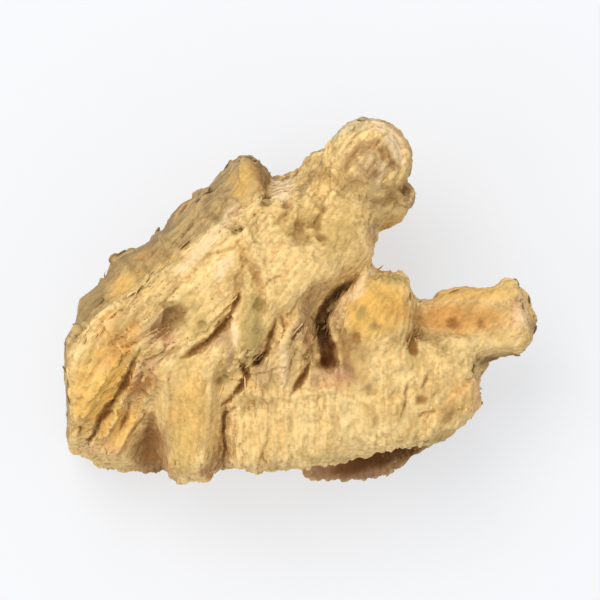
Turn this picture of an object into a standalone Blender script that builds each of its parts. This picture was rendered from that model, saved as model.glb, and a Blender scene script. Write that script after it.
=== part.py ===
# A dried and cut piece of butcher's broom root: one knobbly length of the woody
# underground stem, with the stumps of two shoots on it, lying on a flat cut face.
# The piece grew as one, so it is one solid. +Z is up, +X runs along its greatest
# length, and the origin lies under the middle of its box.

import math

import bmesh
import bpy
import numpy as np
from mathutils import Matrix, Vector, noise
from mathutils.bvhtree import BVHTree

MM = 0.001

# Driving dimensions: the box that the finished piece fills, in metres
PIECE_LENGTH = 12.9 * MM
PIECE_WIDTH = 10.1 * MM
PIECE_HEIGHT = 7.2 * MM

# Fineness of the surface in metres, and how many triangles the solid keeps
BODY_VOXEL = 0.15 * MM
SKIN_VOXEL = 0.12 * MM
TRIANGLE_GOAL = 9600

COLLECTION_NAME = "butchers_broom_root"
PIECE_NAME = "rhizome_piece"

# From here on, lengths and places are in millimetres. x and y are seen from above,
# from the middle of the piece, and z is measured from the face that it lies on.

# The stem grew from lower left to upper right, at this angle to +X
STEM_TURN = 44.5

# A lump has a centre, three half sizes, a turn about Z, a pitch that lifts its far
# end, and a boxiness from 1 for an egg to about 0.5 for a rounded block.
LUMPS = {
    "bark back": dict(at=(-3.50, 0.05, 2.8), half=(4.30, 1.45, 3.7), turn=STEM_TURN, pitch=9, boxiness=0.50),
    "peak": dict(at=(-1.80, 2.10, 3.1), half=(1.25, 1.25, 3.5), turn=STEM_TURN, pitch=0, boxiness=0.50),
    "plateau": dict(at=(-1.55, -0.30, 3.0), half=(3.60, 2.40, 3.65), turn=STEM_TURN, pitch=4, boxiness=0.60),
    "left end": dict(at=(-4.95, -3.00, 1.6), half=(2.25, 1.80, 2.7), turn=28, pitch=12, boxiness=0.50),
    "front pillar": dict(at=(-2.95, -3.25, 2.2), half=(1.25, 1.75, 3.3), turn=8, pitch=0, boxiness=0.65),
    "front band": dict(at=(1.00, -2.84, 3.80), half=(3.75, 1.72, 1.80), turn=10, pitch=-2, boxiness=0.60),
    "band core": dict(at=(0.90, -1.90, 2.2), half=(3.20, 2.10, 2.6), turn=9, pitch=0, boxiness=0.70),
    "lower ledge": dict(at=(1.80, -3.80, 0.9), half=(2.00, 1.60, 1.10), turn=14, pitch=0, boxiness=0.60),
    "middle lump": dict(at=(1.95, -0.50, 4.4), half=(1.15, 1.22, 1.65), turn=20, pitch=0, boxiness=0.80),
    "saddle": dict(at=(0.25, 0.95, 3.7), half=(1.95, 1.75, 2.4), turn=50, pitch=0, boxiness=0.65),
    "shoulder": dict(at=(0.70, 2.15, 2.6), half=(1.75, 1.35, 2.75), turn=58, pitch=0, boxiness=0.65),
    "right root": dict(at=(3.25, -1.75, 2.3), half=(1.75, 1.30, 2.2), turn=22, pitch=0, boxiness=0.70),
    "stump lip": dict(at=(2.42, 2.95, 5.5), half=(0.80, 0.55, 0.42), turn=-15, pitch=0, boxiness=0.80),
}

# A stump is a tapered run of growth rings between two points
STUMPS = {
    "upper stump": dict(start=(1.10, 2.20, 2.6), end=(2.00, 3.95, 6.80), radii=(1.40, 1.14), rings=5),
    "right stump": dict(start=(2.50, -1.12, 3.0), end=(6.20, -0.55, 4.10), radii=(1.28, 1.04), rings=3),
}

# The bark side is round: part of a cylinder along the stem, with its axis at this
# distance across the stem and this height. Beyond its edge, which leans outwards
# towards the left end, the bark lies a step lower than the broken top.
BARK_ROUND = dict(radius=5.4, axis_across=-1.10, axis_height=2.5)
BARK_EDGE = dict(across=2.90, lean=-0.13, fade=0.25, step=0.16)

# A cut face is given by a place on it and the way it faces
CUT_FACES = {
    "left end": dict(at=(-6.40, -2.60, 1.5), faces=(-1.0, -0.04, 0.05)),
    "left corner": dict(at=(-5.30, -4.72, 1.2), faces=(-0.35, -1.0, 0.15)),
    "front foot": dict(at=(0.0, -5.12, 1.0), faces=(0.04, -1.0, -0.05)),
    "right corner": dict(at=(4.25, -3.25, 1.5), faces=(0.80, -0.60, -0.12)),
}

# The right stump was shaved from above as well, down to an oval face
STUMP_SHAVE = dict(at=(4.85, -0.50, 4.40), faces=(-0.16, 0.20, 1.0), reach=(1.80, 1.05), turn=12)

# A hollow is a lump that is taken away
HOLLOWS = {
    "undercut": dict(at=(2.10, -4.62, 2.42), half=(1.95, 1.45, 0.50), turn=17, pitch=6, boxiness=0.80),
    "side notch": dict(at=(3.25, 1.22, 4.6), half=(1.45, 0.62, 4.2), turn=12, pitch=0, boxiness=0.85),
    "under stump": dict(at=(3.00, 3.30, 1.2), half=(1.50, 2.00, 1.7), turn=-30, pitch=0, boxiness=0.85),
    "under stump gap": dict(at=(5.10, -0.40, 1.3), half=(1.50, 1.60, 1.5), turn=10, pitch=0, boxiness=0.85),
    "stump gap": dict(at=(3.28, 1.15, 4.6), half=(0.36, 1.15, 2.6), turn=-8, pitch=0, boxiness=0.90),
    "neck gap": dict(at=(-0.40, 4.25, 4.2), half=(0.80, 1.25, 4.5), turn=-25, pitch=0, boxiness=0.90),
}

# A rootlet broke off at each scar, which is found by looking out from a place inside
ROOT_SCARS = {
    "back middle": dict(inside=(-4.0, -0.4, 2.6), looking=(-0.75, 1.0, -0.10), radius=0.62),
    "back upper": dict(inside=(-2.4, 1.4, 3.2), looking=(-0.60, 1.0, 0.05), radius=0.58),
    "back lower": dict(inside=(-4.4, -1.6, 1.9), looking=(-0.80, 1.0, -0.15), radius=0.52),
    "peak": dict(inside=(-1.4, 1.9, 2.2), looking=(0.50, 1.0, -0.20), radius=0.50),
    "right side": dict(inside=(2.8, -1.4, 1.9), looking=(1.0, 0.25, -0.20), radius=0.60),
    "front": dict(inside=(-3.0, -2.6, 1.8), looking=(0.05, -1.0, -0.10), radius=0.50),
}

# A crack follows a bent line in plan, and is cut straight down from the top
CRACKS = {
    "deep cleft": dict(path=((1.75, 0.70), (1.00, 0.20), (0.52, -0.28), (0.48, -0.80), (0.82, -1.95)),
                       width=0.42, depth=3.2),
    "cleft branch": dict(path=((0.48, -0.60), (0.28, -1.50), (-0.08, -2.60)), width=0.27, depth=1.7),
    "left fissure": dict(path=((-3.40, -1.62), (-2.52, -1.23), (-2.04, -0.75), (-1.62, 0.35)),
                         width=0.26, depth=1.5),
    "tongue fissure": dict(path=((-2.00, -2.75), (-1.47, -1.99), (-0.95, -1.55), (-0.68, -0.45)),
                           width=0.30, depth=1.7),
    "seam": dict(path=((-1.88, -2.30), (-2.04, -3.60), (-2.25, -5.10)), width=0.34, depth=1.6),
    "end crack": dict(path=((-5.90, -4.00), (-5.28, -2.94), (-4.71, -2.27), (-4.10, -1.05)),
                      width=0.28, depth=1.4),
}

# A crack's line wavers, and the crack is narrower towards its ends
CRACK_WAVER = dict(spacing=0.45, reach=0.13)

# A pit has a place in plan, a radius and a depth
PITS = {
    "end hollow": dict(at=(-4.05, -4.10), radius=0.80, depth=1.5),
    "peak notch": dict(at=(-0.90, 2.80), radius=0.38, depth=0.9),
    "stump notch": dict(at=(3.05, -1.05), radius=0.45, depth=1.5),
    "upper dimple": dict(at=(-3.45, -0.55), radius=0.45, depth=0.40),
    "band pit": dict(at=(3.23, -2.65), radius=0.24, depth=0.45),
}

# Below this height the piece draws in by a share of its plan towards its foot
FOOT = dict(height=1.7, draw_in=0.09)

# The forms of the rough surface, each with the spacing at which it repeats and its
# height: soft lumps and ridges all over, ledges where the wood broke along the stem,
# growth rings round the bark and the stumps, and teeth down the front band
LUMPINESS = dict(spacing=1.70, height=0.26)
RIDGES = dict(spacing=0.62, length=2.40, height=0.15)
LEDGES = dict(spacing=1.15, height=0.34)
RINGS = dict(spacing=1.45, height=0.13)
TEETH = dict(spacing=0.58, height=0.07)

# Where each form fades in, from a first value to a second: by the slope of the
# surface up or to the front, and by the place
LOOKS_UP = (0.20, 0.60)
LOOKS_TO_FRONT = (0.10, 0.50)
CRACKS_LOOK_UP = (0.05, 0.35)
BAND_FROM_LEFT = (-2.0, -1.4)
BAND_FROM_BELOW = (2.0, 2.6)
BAND_BACK_EDGE = (-2.4, -1.2)
SADDLE_PLACE = (0.30, 0.90)
SADDLE_REACH = (0.0, 2.2)
LEAST_LEDGE = 0.2

# The end of the upper stump is dished inside its rim, with a boss in the middle
STUMP_RIM = 0.80
STUMP_DISH = 0.22
STUMP_BOSS = dict(radius=0.40, height=0.14)

# A rootlet scar is a collar as high as this, hollow inside
SCAR_COLLAR = 0.20
SCAR_COLLAR_FLARE = 1.2
SCAR_HOLLOW = 0.34


def clear_scene():
    """Remove what the scene held before."""
    for old_object in list(bpy.data.objects):
        bpy.data.objects.remove(old_object, do_unlink=True)


def dried_wood():
    """Pale golden dried wood."""
    material = bpy.data.materials.new("dried_wood")
    material.use_nodes = True
    shader = material.node_tree.nodes["Principled BSDF"]
    shader.inputs["Base Color"].default_value = (0.72, 0.52, 0.24, 1.0)
    shader.inputs["Roughness"].default_value = 0.85
    shader.inputs["Metallic"].default_value = 0.0
    return material


def mesh_from(form, name):
    """Turn a bmesh into a mesh and free it."""
    mesh = bpy.data.meshes.new(name)
    form.to_mesh(mesh)
    form.free()
    return mesh


def with_modifiers(mesh, settings):
    """Return the mesh that a list of modifiers makes of this one."""
    holder = bpy.data.objects.new("holder", mesh)
    bpy.context.scene.collection.objects.link(holder)
    for kind, values in settings:
        modifier = holder.modifiers.new(kind.title(), kind)
        for name, value in values.items():
            setattr(modifier, name, value)
    evaluated = holder.evaluated_get(bpy.context.evaluated_depsgraph_get())
    result = bpy.data.meshes.new_from_object(evaluated)
    bpy.data.objects.remove(holder, do_unlink=True)
    return result


def keep_outer_skin(mesh):
    """Delete the skins of sealed pockets and crumbs: only the largest skin stays."""
    form = bmesh.new()
    form.from_mesh(mesh)
    unseen = set(form.verts)
    skins = []
    while unseen:
        skin = {unseen.pop()}
        edge_of_skin = list(skin)
        while edge_of_skin:
            vertex = edge_of_skin.pop()
            for edge in vertex.link_edges:
                other = edge.other_vert(vertex)
                if other in unseen:
                    unseen.discard(other)
                    skin.add(other)
                    edge_of_skin.append(other)
        skins.append(skin)
    skins.sort(key=len)
    crumbs = [vertex for skin in skins[:-1] for vertex in skin]
    bmesh.ops.delete(form, geom=crumbs, context="VERTS")
    form.to_mesh(mesh)
    form.free()
    return mesh


def fuse(mesh, voxel, smoothing):
    """Grow everything in a mesh into one closed skin."""
    return keep_outer_skin(with_modifiers(mesh, [
        ("REMESH", dict(mode="VOXEL", voxel_size=voxel)),
        ("SMOOTH", dict(factor=0.5, iterations=smoothing)),
    ]))


def add_lump(form, at, half, turn, pitch, boxiness):
    """Add one rounded lump: a sphere squared off, stretched, turned and placed."""
    made = bmesh.ops.create_uvsphere(form, u_segments=48, v_segments=32, radius=1.0)
    place = (Matrix.Translation(Vector(at) * MM)
             @ Matrix.Rotation(math.radians(turn), 4, "Z")
             @ Matrix.Rotation(math.radians(-pitch), 4, "Y"))
    for vertex in made["verts"]:
        squared = [math.copysign(abs(value) ** boxiness, value) for value in vertex.co]
        stretched = Vector([value * size * MM for value, size in zip(squared, half)])
        vertex.co = place @ stretched


def add_cone(form, foot, tip, foot_radius, tip_radius):
    """Add a tapered cylinder with flat ends between two points."""
    along = tip - foot
    turned = along.to_track_quat("Z", "Y").to_matrix().to_4x4()
    bmesh.ops.create_cone(form, cap_ends=True, segments=40, radius1=foot_radius * MM,
                          radius2=tip_radius * MM, depth=along.length * MM,
                          matrix=Matrix.Translation((foot + tip) / 2 * MM) @ turned)


def add_stump(form, start, end, radii, rings):
    """Add a shoot's stump: one short flared cone for each growth ring."""
    foot = Vector(start)
    step = (Vector(end) - foot) / rings
    taper = (radii[1] - radii[0]) / rings
    flare = 1.1 * RINGS["height"]
    for ring in range(rings):
        low = foot + step * ring
        radius = radii[0] + taper * (ring + 1)
        add_cone(form, low, low + step, radius - flare, radius)


def rough_body():
    """The lumps and the stumps, grown together."""
    form = bmesh.new()
    for lump in LUMPS.values():
        add_lump(form, **lump)
    for stump in STUMPS.values():
        add_stump(form, **stump)
    return fuse(mesh_from(form, "loose_lumps"), BODY_VOXEL, 3)


def take_away_hollows(mesh):
    """Cut the hollows out of the body."""
    form = bmesh.new()
    for hollow in HOLLOWS.values():
        add_lump(form, **hollow)
    cutter_mesh = with_modifiers(mesh_from(form, "loose_hollows"), [
        ("REMESH", dict(mode="VOXEL", voxel_size=BODY_VOXEL)),
    ])
    cutter = bpy.data.objects.new("hollows", cutter_mesh)
    bpy.context.scene.collection.objects.link(cutter)
    carved = with_modifiers(mesh, [("BOOLEAN", dict(operation="DIFFERENCE", object=cutter))])
    bpy.data.objects.remove(cutter, do_unlink=True)
    return carved


def cut_with_plane(mesh, at, faces):
    """Cut off what lies beyond a plane, and close the cut. Both are in millimetres."""
    form = bmesh.new()
    form.from_mesh(mesh)
    everything = form.verts[:] + form.edges[:] + form.faces[:]
    cut = bmesh.ops.bisect_plane(form, geom=everything, plane_co=Vector(at) * MM,
                                 plane_no=Vector(faces).normalized(), clear_outer=True)
    rim = [item for item in cut["geom_cut"] if isinstance(item, bmesh.types.BMEdge)]
    bmesh.ops.holes_fill(form, edges=rim, sides=0)
    form.to_mesh(mesh)
    form.free()
    return mesh


def add_root_scars(mesh):
    """Set a low collar on the skin wherever a rootlet broke off. Also gives their tips."""
    form = bmesh.new()
    form.from_mesh(mesh)
    skin = BVHTree.FromBMesh(form)
    tips = []
    for scar in ROOT_SCARS.values():
        looking = Vector(scar["looking"]).normalized()
        hit = skin.ray_cast(Vector(scar["inside"]) * MM, looking)[0]
        tip = hit / MM + looking * SCAR_COLLAR
        add_cone(form, tip - looking, tip, scar["radius"] * SCAR_COLLAR_FLARE, scar["radius"])
        tips.append(tip)
    return fuse(mesh_from(form, "scarred_body"), SKIN_VOXEL, 1), tips


def read_points(mesh):
    """Vertex places in millimetres and their normals, as two arrays."""
    points = np.empty(len(mesh.vertices) * 3)
    mesh.vertices.foreach_get("co", points)
    normals = np.empty(len(mesh.vertices) * 3)
    mesh.vertex_normals.foreach_get("vector", normals)
    return points.reshape(-1, 3) / MM, normals.reshape(-1, 3)


def write_points(mesh, points):
    """Put vertex places in millimetres back in the mesh."""
    mesh.vertices.foreach_set("co", (points * MM).ravel())
    mesh.update()


def fade(value, start, full):
    """Ease from 0 at start to 1 at full."""
    share = np.clip((value - start) / (full - start), 0.0, 1.0)
    return share * share * (3.0 - 2.0 * share)


def noise_at(points, spacing):
    """Smooth noise from -1 to 1 at each point, with one spacing or three."""
    scaled = points / np.array(spacing)
    return np.array([noise.noise(Vector(place)) for place in scaled])


def along_and_across(points):
    """How far each point lies along the stem and across it, towards the bark."""
    turn = math.radians(STEM_TURN)
    along = points[:, 0] * math.cos(turn) + points[:, 1] * math.sin(turn)
    across = -points[:, 0] * math.sin(turn) + points[:, 1] * math.cos(turn)
    return along, across


def bark_share(along, across):
    """1 on the bark, 0 on the broken wood."""
    edge = BARK_EDGE["across"] + BARK_EDGE["lean"] * along
    return fade(across, edge, edge + BARK_EDGE["fade"])


def skin_relief(points, normals):
    """How far lumps, ridges, growth rings and teeth push the skin out."""
    along, across = along_and_across(points)
    grain = np.column_stack([along, across, points[:, 2]])
    bark = bark_share(along, across)

    lumps = noise_at(points, LUMPINESS["spacing"]) * LUMPINESS["height"]

    ridge_spacing = (RIDGES["length"], RIDGES["spacing"], RIDGES["spacing"] * 1.6)
    ridges = (0.35 - 2.0 * np.abs(noise_at(grain + 7.3, ridge_spacing))) * RIDGES["height"]

    ring_angle = (along + 0.30 * noise_at(points + 3.1, 1.2)) / RINGS["spacing"] * 2.0 * math.pi
    rings = (np.cos(ring_angle) + 0.25 * np.cos(2.0 * ring_angle)) * RINGS["height"]

    on_band = fade(-normals[:, 1], *LOOKS_TO_FRONT)
    on_band *= fade(points[:, 0], *BAND_FROM_LEFT) * fade(points[:, 2], *BAND_FROM_BELOW)
    tooth_angle = (points[:, 0] + 0.25 * noise_at(points + 5.7, 0.9)) / TEETH["spacing"] * 2.0 * math.pi
    teeth = np.cos(tooth_angle) * TEETH["height"] * on_band
    return lumps + ridges + teeth + (rings - BARK_EDGE["step"]) * bark


def ledge_relief(points, looks_up):
    """How far the ledges lift or lower the broken top, least on the saddle and the band."""
    along, across = along_and_across(points)
    grain = np.column_stack([along, across, points[:, 2]])
    place = (across + 1.5 * noise_at(grain + 11.0, (2.2, 1.3, 1.3))) / LEDGES["spacing"]
    ledges = (place - np.floor(place) - 0.5) * LEDGES["height"]
    patches = fade(noise_at(points + 17.0, 2.4), -0.45, 0.40)
    from_saddle = np.linalg.norm(points[:, :2] - np.array(SADDLE_PLACE), axis=1)
    off_saddle = LEAST_LEDGE + (1.0 - LEAST_LEDGE) * fade(from_saddle, *SADDLE_REACH)
    off_band = np.maximum(fade(points[:, 1], *BAND_BACK_EDGE), 1.0 - fade(points[:, 0], *BAND_FROM_LEFT))
    return ledges * patches * looks_up * off_saddle * off_band * (1.0 - bark_share(along, across))


def roughen(mesh):
    """Give the skin its relief, and the broken top its ledges."""
    points, normals = read_points(mesh)
    points += normals * skin_relief(points, normals)[:, None]
    points[:, 2] += ledge_relief(points, fade(normals[:, 2], *LOOKS_UP))
    write_points(mesh, points)
    return mesh


def distance_to_path(plan, path):
    """Shortest distance in plan from each point to a bent line, and the share of it passed."""
    path = np.array(path)
    spans = np.linalg.norm(np.diff(path, axis=0), axis=1)
    passed = np.concatenate([[0.0], np.cumsum(spans)]) / spans.sum()
    nearest = np.full(len(plan), np.inf)
    share = np.zeros(len(plan))
    for index in range(len(path) - 1):
        run = path[index + 1] - path[index]
        along = np.clip(((plan - path[index]) @ run) / (run @ run), 0.0, 1.0)
        away = np.linalg.norm(plan - path[index] - along[:, None] * run, axis=1)
        closer = away < nearest
        nearest[closer] = away[closer]
        share[closer] = (passed[index] + along * (passed[index + 1] - passed[index]))[closer]
    return nearest, share


def round_off_bark(mesh):
    """Bring what stands out beyond the round bark side in to it."""
    points = read_points(mesh)[0]
    across = along_and_across(points)[1]
    height = points[:, 2] - BARK_ROUND["axis_height"]
    reach = BARK_ROUND["axis_across"] + np.sqrt(BARK_ROUND["radius"] ** 2 - height ** 2)
    beyond = np.clip(across - reach, 0.0, None)
    turn = math.radians(STEM_TURN)
    points[:, 0] += beyond * math.sin(turn)
    points[:, 1] -= beyond * math.cos(turn)
    write_points(mesh, points)
    return mesh


def draw_in_foot(mesh):
    """Draw the piece in towards the face that it lies on."""
    points = read_points(mesh)[0]
    low = 1.0 - fade(points[:, 2], 0.0, FOOT["height"])
    points[:, :2] *= (1.0 - FOOT["draw_in"] * low)[:, None]
    write_points(mesh, points)
    return mesh


def crack_depth(plan, path, width, depth):
    """How deep a crack is at each point in plan: a notch that narrows towards both ends."""
    away, share = distance_to_path(plan, path)
    taper = np.clip(1.4 * np.sin(math.pi * share) + 0.05, 0.0, 1.0)
    half_width = width * (1.0 + taper) / 2.0
    return depth * taper * np.clip(1.0 - away / half_width, 0.0, 1.0) ** 0.8


def cut_cracks_and_pits(mesh):
    """Press the cracks and pits straight down into the faces that look up."""
    points, normals = read_points(mesh)
    sideways = np.column_stack([noise_at(points + shift, CRACK_WAVER["spacing"]) for shift in (23.0, 29.0)])
    ragged = points[:, :2] + sideways * CRACK_WAVER["reach"]
    drop = np.zeros(len(points))
    for crack in CRACKS.values():
        drop = np.maximum(drop, crack_depth(ragged, **crack))
    for pit in PITS.values():
        away = np.linalg.norm(points[:, :2] - np.array(pit["at"]), axis=1)
        drop = np.maximum(drop, pit["depth"] * fade(away, pit["radius"], 0.0))
    points[:, 2] -= drop * fade(normals[:, 2], *CRACKS_LOOK_UP)
    write_points(mesh, points)
    return mesh


def shave_right_stump(mesh):
    """Lower what stands above the shaved face of the right stump, within its oval reach."""
    points = read_points(mesh)[0]
    place = points - np.array(STUMP_SHAVE["at"])
    turn = math.radians(STUMP_SHAVE["turn"])
    along = (place[:, 0] * math.cos(turn) + place[:, 1] * math.sin(turn)) / STUMP_SHAVE["reach"][0]
    across = (place[:, 1] * math.cos(turn) - place[:, 0] * math.sin(turn)) / STUMP_SHAVE["reach"][1]
    inside = fade(np.hypot(along, across), 1.0, 0.7)
    above = np.clip(place @ np.array(STUMP_SHAVE["faces"]), 0.0, None)
    points[:, 2] -= above * inside
    write_points(mesh, points)
    return mesh


def press_scars(mesh, scar_tips):
    """Dish the end of the upper stump, and hollow the middle of each rootlet scar."""
    points, normals = read_points(mesh)
    stump = STUMPS["upper stump"]
    radius = stump["radii"][1]
    axis = (Vector(stump["end"]) - Vector(stump["start"])).normalized()
    away = np.linalg.norm(points - np.array(stump["end"]), axis=1)
    on_end = fade(normals @ np.array(axis), 0.5, 0.8) * fade(away, radius, radius - 0.15)
    rim = STUMP_RIM * radius
    dish = STUMP_BOSS["height"] * fade(away, STUMP_BOSS["radius"], 0.0)
    dish -= STUMP_DISH * fade(away, rim, rim - 0.25)
    points += np.outer(dish * on_end, np.array(axis))
    for scar, tip in zip(ROOT_SCARS.values(), scar_tips):
        looking = np.array(Vector(scar["looking"]).normalized())
        place = points - np.array(tip)
        outwards = place @ looking
        from_axis = np.linalg.norm(place - np.outer(outwards, looking), axis=1)
        hollow = SCAR_HOLLOW * fade(from_axis, 0.75 * scar["radius"], 0.0) * (outwards > -1.0)
        points -= np.outer(hollow, looking)
    write_points(mesh, points)
    return mesh


def thin_out(mesh, goal):
    """Keep about the wanted number of triangles, where the shape needs them."""
    return with_modifiers(mesh, [
        ("DECIMATE", dict(decimate_type="COLLAPSE", ratio=goal / (2 * len(mesh.polygons)))),
    ])


def fit_to_box(mesh):
    """Give the piece its driving dimensions, with the origin under its middle."""
    points = read_points(mesh)[0] * MM
    low = points.min(axis=0)
    high = points.max(axis=0)
    wanted = np.array([PIECE_LENGTH, PIECE_WIDTH, PIECE_HEIGHT])
    middle = np.array([(low[0] + high[0]) / 2, (low[1] + high[1]) / 2, low[2]])
    write_points(mesh, (points - middle) * wanted / (high - low) / MM)
    return mesh


def finished_piece():
    """The whole piece, as one closed mesh."""
    mesh = take_away_hollows(rough_body())
    mesh = round_off_bark(mesh)
    mesh, scar_tips = add_root_scars(mesh)
    mesh = shave_right_stump(mesh)
    mesh = draw_in_foot(mesh)
    mesh = roughen(mesh)
    for cut_face in CUT_FACES.values():
        mesh = cut_with_plane(mesh, **cut_face)
    mesh = cut_cracks_and_pits(mesh)
    mesh = press_scars(mesh, scar_tips)
    mesh = fuse(mesh, SKIN_VOXEL, 1)
    mesh = thin_out(mesh, TRIANGLE_GOAL)
    mesh = keep_outer_skin(cut_with_plane(mesh, at=(0, 0, 0), faces=(0, 0, -1)))
    return fit_to_box(mesh)


def main():
    """Build the piece."""
    clear_scene()
    collection = bpy.data.collections.new(COLLECTION_NAME)
    bpy.context.scene.collection.children.link(collection)
    mesh = finished_piece()
    mesh.name = PIECE_NAME
    mesh.materials.clear()
    mesh.materials.append(dried_wood())
    piece = bpy.data.objects.new(PIECE_NAME, mesh)
    collection.objects.link(piece)


main()
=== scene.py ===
import math

import bmesh
import bpy
import numpy as np
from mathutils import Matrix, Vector, noise
from mathutils.bvhtree import BVHTree
from mathutils.kdtree import KDTree


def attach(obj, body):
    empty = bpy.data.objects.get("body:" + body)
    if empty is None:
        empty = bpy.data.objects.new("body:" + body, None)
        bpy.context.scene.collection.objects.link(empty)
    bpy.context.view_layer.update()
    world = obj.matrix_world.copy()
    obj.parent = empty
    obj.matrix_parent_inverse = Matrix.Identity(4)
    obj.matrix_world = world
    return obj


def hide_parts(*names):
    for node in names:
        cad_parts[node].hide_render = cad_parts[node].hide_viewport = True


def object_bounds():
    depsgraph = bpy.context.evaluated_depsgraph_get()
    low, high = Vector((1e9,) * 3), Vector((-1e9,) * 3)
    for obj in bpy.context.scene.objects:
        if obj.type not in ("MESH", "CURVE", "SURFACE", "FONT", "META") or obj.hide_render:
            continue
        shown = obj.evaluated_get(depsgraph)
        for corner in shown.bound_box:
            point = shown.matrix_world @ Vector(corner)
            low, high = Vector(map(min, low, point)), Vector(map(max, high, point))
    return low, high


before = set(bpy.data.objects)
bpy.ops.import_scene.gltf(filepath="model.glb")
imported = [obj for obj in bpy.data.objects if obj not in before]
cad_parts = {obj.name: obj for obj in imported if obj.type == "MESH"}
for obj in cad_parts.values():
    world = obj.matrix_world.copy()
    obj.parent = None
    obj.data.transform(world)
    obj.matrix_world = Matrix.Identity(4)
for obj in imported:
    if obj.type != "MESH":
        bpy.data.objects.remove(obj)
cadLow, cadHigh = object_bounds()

# A dried, cut piece of butcher's broom root, seen from straight above.
# Shapes are worked out in millimetres and go back to metres at the end.
mm = 0.001
boxLow, boxHigh = np.array(cadLow) / mm, np.array(cadHigh) / mm
stemTurn = 44.5  # the stem grew at this angle to +X


# What a node tree is built with, for shaders and for geometry alike

class Wire:  # a socket that can stand in a sum
    def __init__(self, board, socket):
        self.board = board
        self.socket = socket

    def __add__(self, other):
        return self.board.sum("ADD", self, other)

    def __sub__(self, other):
        return self.board.sum("SUBTRACT", self, other)

    def __rsub__(self, other):
        return self.board.sum("SUBTRACT", other, self)

    def __mul__(self, other):
        return self.board.sum("MULTIPLY", self, other)

    def __pow__(self, other):
        return self.board.sum("POWER", self, other)

    __radd__ = __add__
    __rmul__ = __mul__


class Board:  # a node tree and the ways of adding to it
    def __init__(self, tree):
        self.tree = tree

    def node(self, kind, settings=None, inputs=None, out=0):
        made = self.tree.nodes.new(kind)
        for name, value in (settings or {}).items():
            setattr(made, name, value)
        for name, value in (inputs or {}).items():
            self.plug(made.inputs[name], value)
        return Wire(self, made.outputs[out])

    def plug(self, socket, value):
        if isinstance(value, Wire):
            self.tree.links.new(value.socket, socket)
        else:
            socket.default_value = value

    def sum(self, operation, first, second):
        return self.node("ShaderNodeMath", {"operation": operation}, {0: first, 1: second})

    def blend(self, share, first, second, way="MIX"):  # colours
        settings = {"data_type": "RGBA", "blend_type": way}
        return self.node("ShaderNodeMix", settings, {0: share, 6: first, 7: second}, 2)

    def fade(self, value, start, full):  # 0 at start, 1 at full
        settings = {"interpolation_type": "SMOOTHSTEP"}
        return self.node("ShaderNodeMapRange", settings, {0: value, 1: start, 2: full})

    def other(self, wire, name):  # another output of the node that a wire comes from
        return Wire(self, wire.socket.node.outputs[name])

    def field(self, name):  # a number that the mesh carries on its points
        return self.node("ShaderNodeAttribute", {"attribute_name": name}, out="Fac")


def rgb(red, green, blue):  # screen values, 0 to 255, as light
    def light(value):
        share = value / 255
        return share / 12.92 if share <= 0.04045 else ((share + 0.055) / 1.055) ** 2.4
    return (light(red), light(green), light(blue), 1.0)


# Sums on many points at once, in millimetres

def fadeAt(value, start, full):
    share = np.clip((value - start) / (full - start), 0.0, 1.0)
    return share * share * (3.0 - 2.0 * share)


def noiseAt(points, size, shift=0.0):  # -1 to 1, with one size or three
    scaled = points / np.array(size) + shift
    return np.fromiter((noise.noise(place) for place in scaled.tolist()), float, len(points))


def waverAt(points, size, shifts):  # two noise fields side by side, to shake places in plan with
    return np.column_stack([noiseAt(points, size, shift) for shift in shifts])


def strandsAt(points, size, octaves, shift=0.0):  # rounded strands with creases between, about 0 to 1
    total = np.zeros(len(points))
    for octave in range(octaves):
        finer = 2.0 ** octave
        total += np.abs(noiseAt(points, np.array(size) / finer, shift + 9.1 * octave)) / finer
    return total * 1.6


def cellsAt(points, size, shift=0.0):  # distance to the nearest grain, and the gap to the next one
    scaled = (points / np.array(size) + shift).tolist()
    found = np.array([noise.voronoi(place)[0][:2] for place in scaled])
    return found[:, 0], found[:, 1] - found[:, 0]


def splintersAt(points, size, shift=0.0):  # long splinters: each one's own level, and the gap to the next
    scaled = (points / np.array(size) + shift).tolist()
    found = [noise.voronoi(place) for place in scaled]
    middles = np.array([points[0] for away, points in found])
    gaps = np.array([away[1] - away[0] for away, points in found])
    levels = np.sin(middles @ np.array((127.1, 311.7, 74.7))) * 43758.5
    return levels - np.floor(levels) - 0.5, gaps


def ovalAway(plan, at, size, turn):  # 0 in the middle of an oval, 1 at its rim
    angle = math.radians(turn)
    place = plan - np.array(at)
    along = (place[:, 0] * math.cos(angle) + place[:, 1] * math.sin(angle)) / size[0]
    across = (place[:, 1] * math.cos(angle) - place[:, 0] * math.sin(angle)) / size[1]
    return np.hypot(along, across)


def planAway(points, at):  # distance in plan from one place
    return np.linalg.norm(points[:, :2] - np.array(at), axis=1)


def alongAndAcross(points):  # the stem, in mm
    turn = math.radians(stemTurn)
    along = points[:, 0] * math.cos(turn) + points[:, 1] * math.sin(turn)
    across = -points[:, 0] * math.sin(turn) + points[:, 1] * math.cos(turn)
    return along, across


def readPoints(mesh):
    points = np.empty(len(mesh.vertices) * 3)
    mesh.vertices.foreach_get("co", points)
    normals = np.empty(len(mesh.vertices) * 3)
    mesh.vertex_normals.foreach_get("vector", normals)
    return points.reshape(-1, 3), normals.reshape(-1, 3)


def writePoints(mesh, points):
    mesh.vertices.foreach_set("co", points.ravel())
    mesh.update()


def surfaceOf(mesh):  # for rays, and for the nearest place on it
    holder = bmesh.new()
    holder.from_mesh(mesh)
    surface = BVHTree.FromBMesh(holder)
    holder.free()
    return surface


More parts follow.
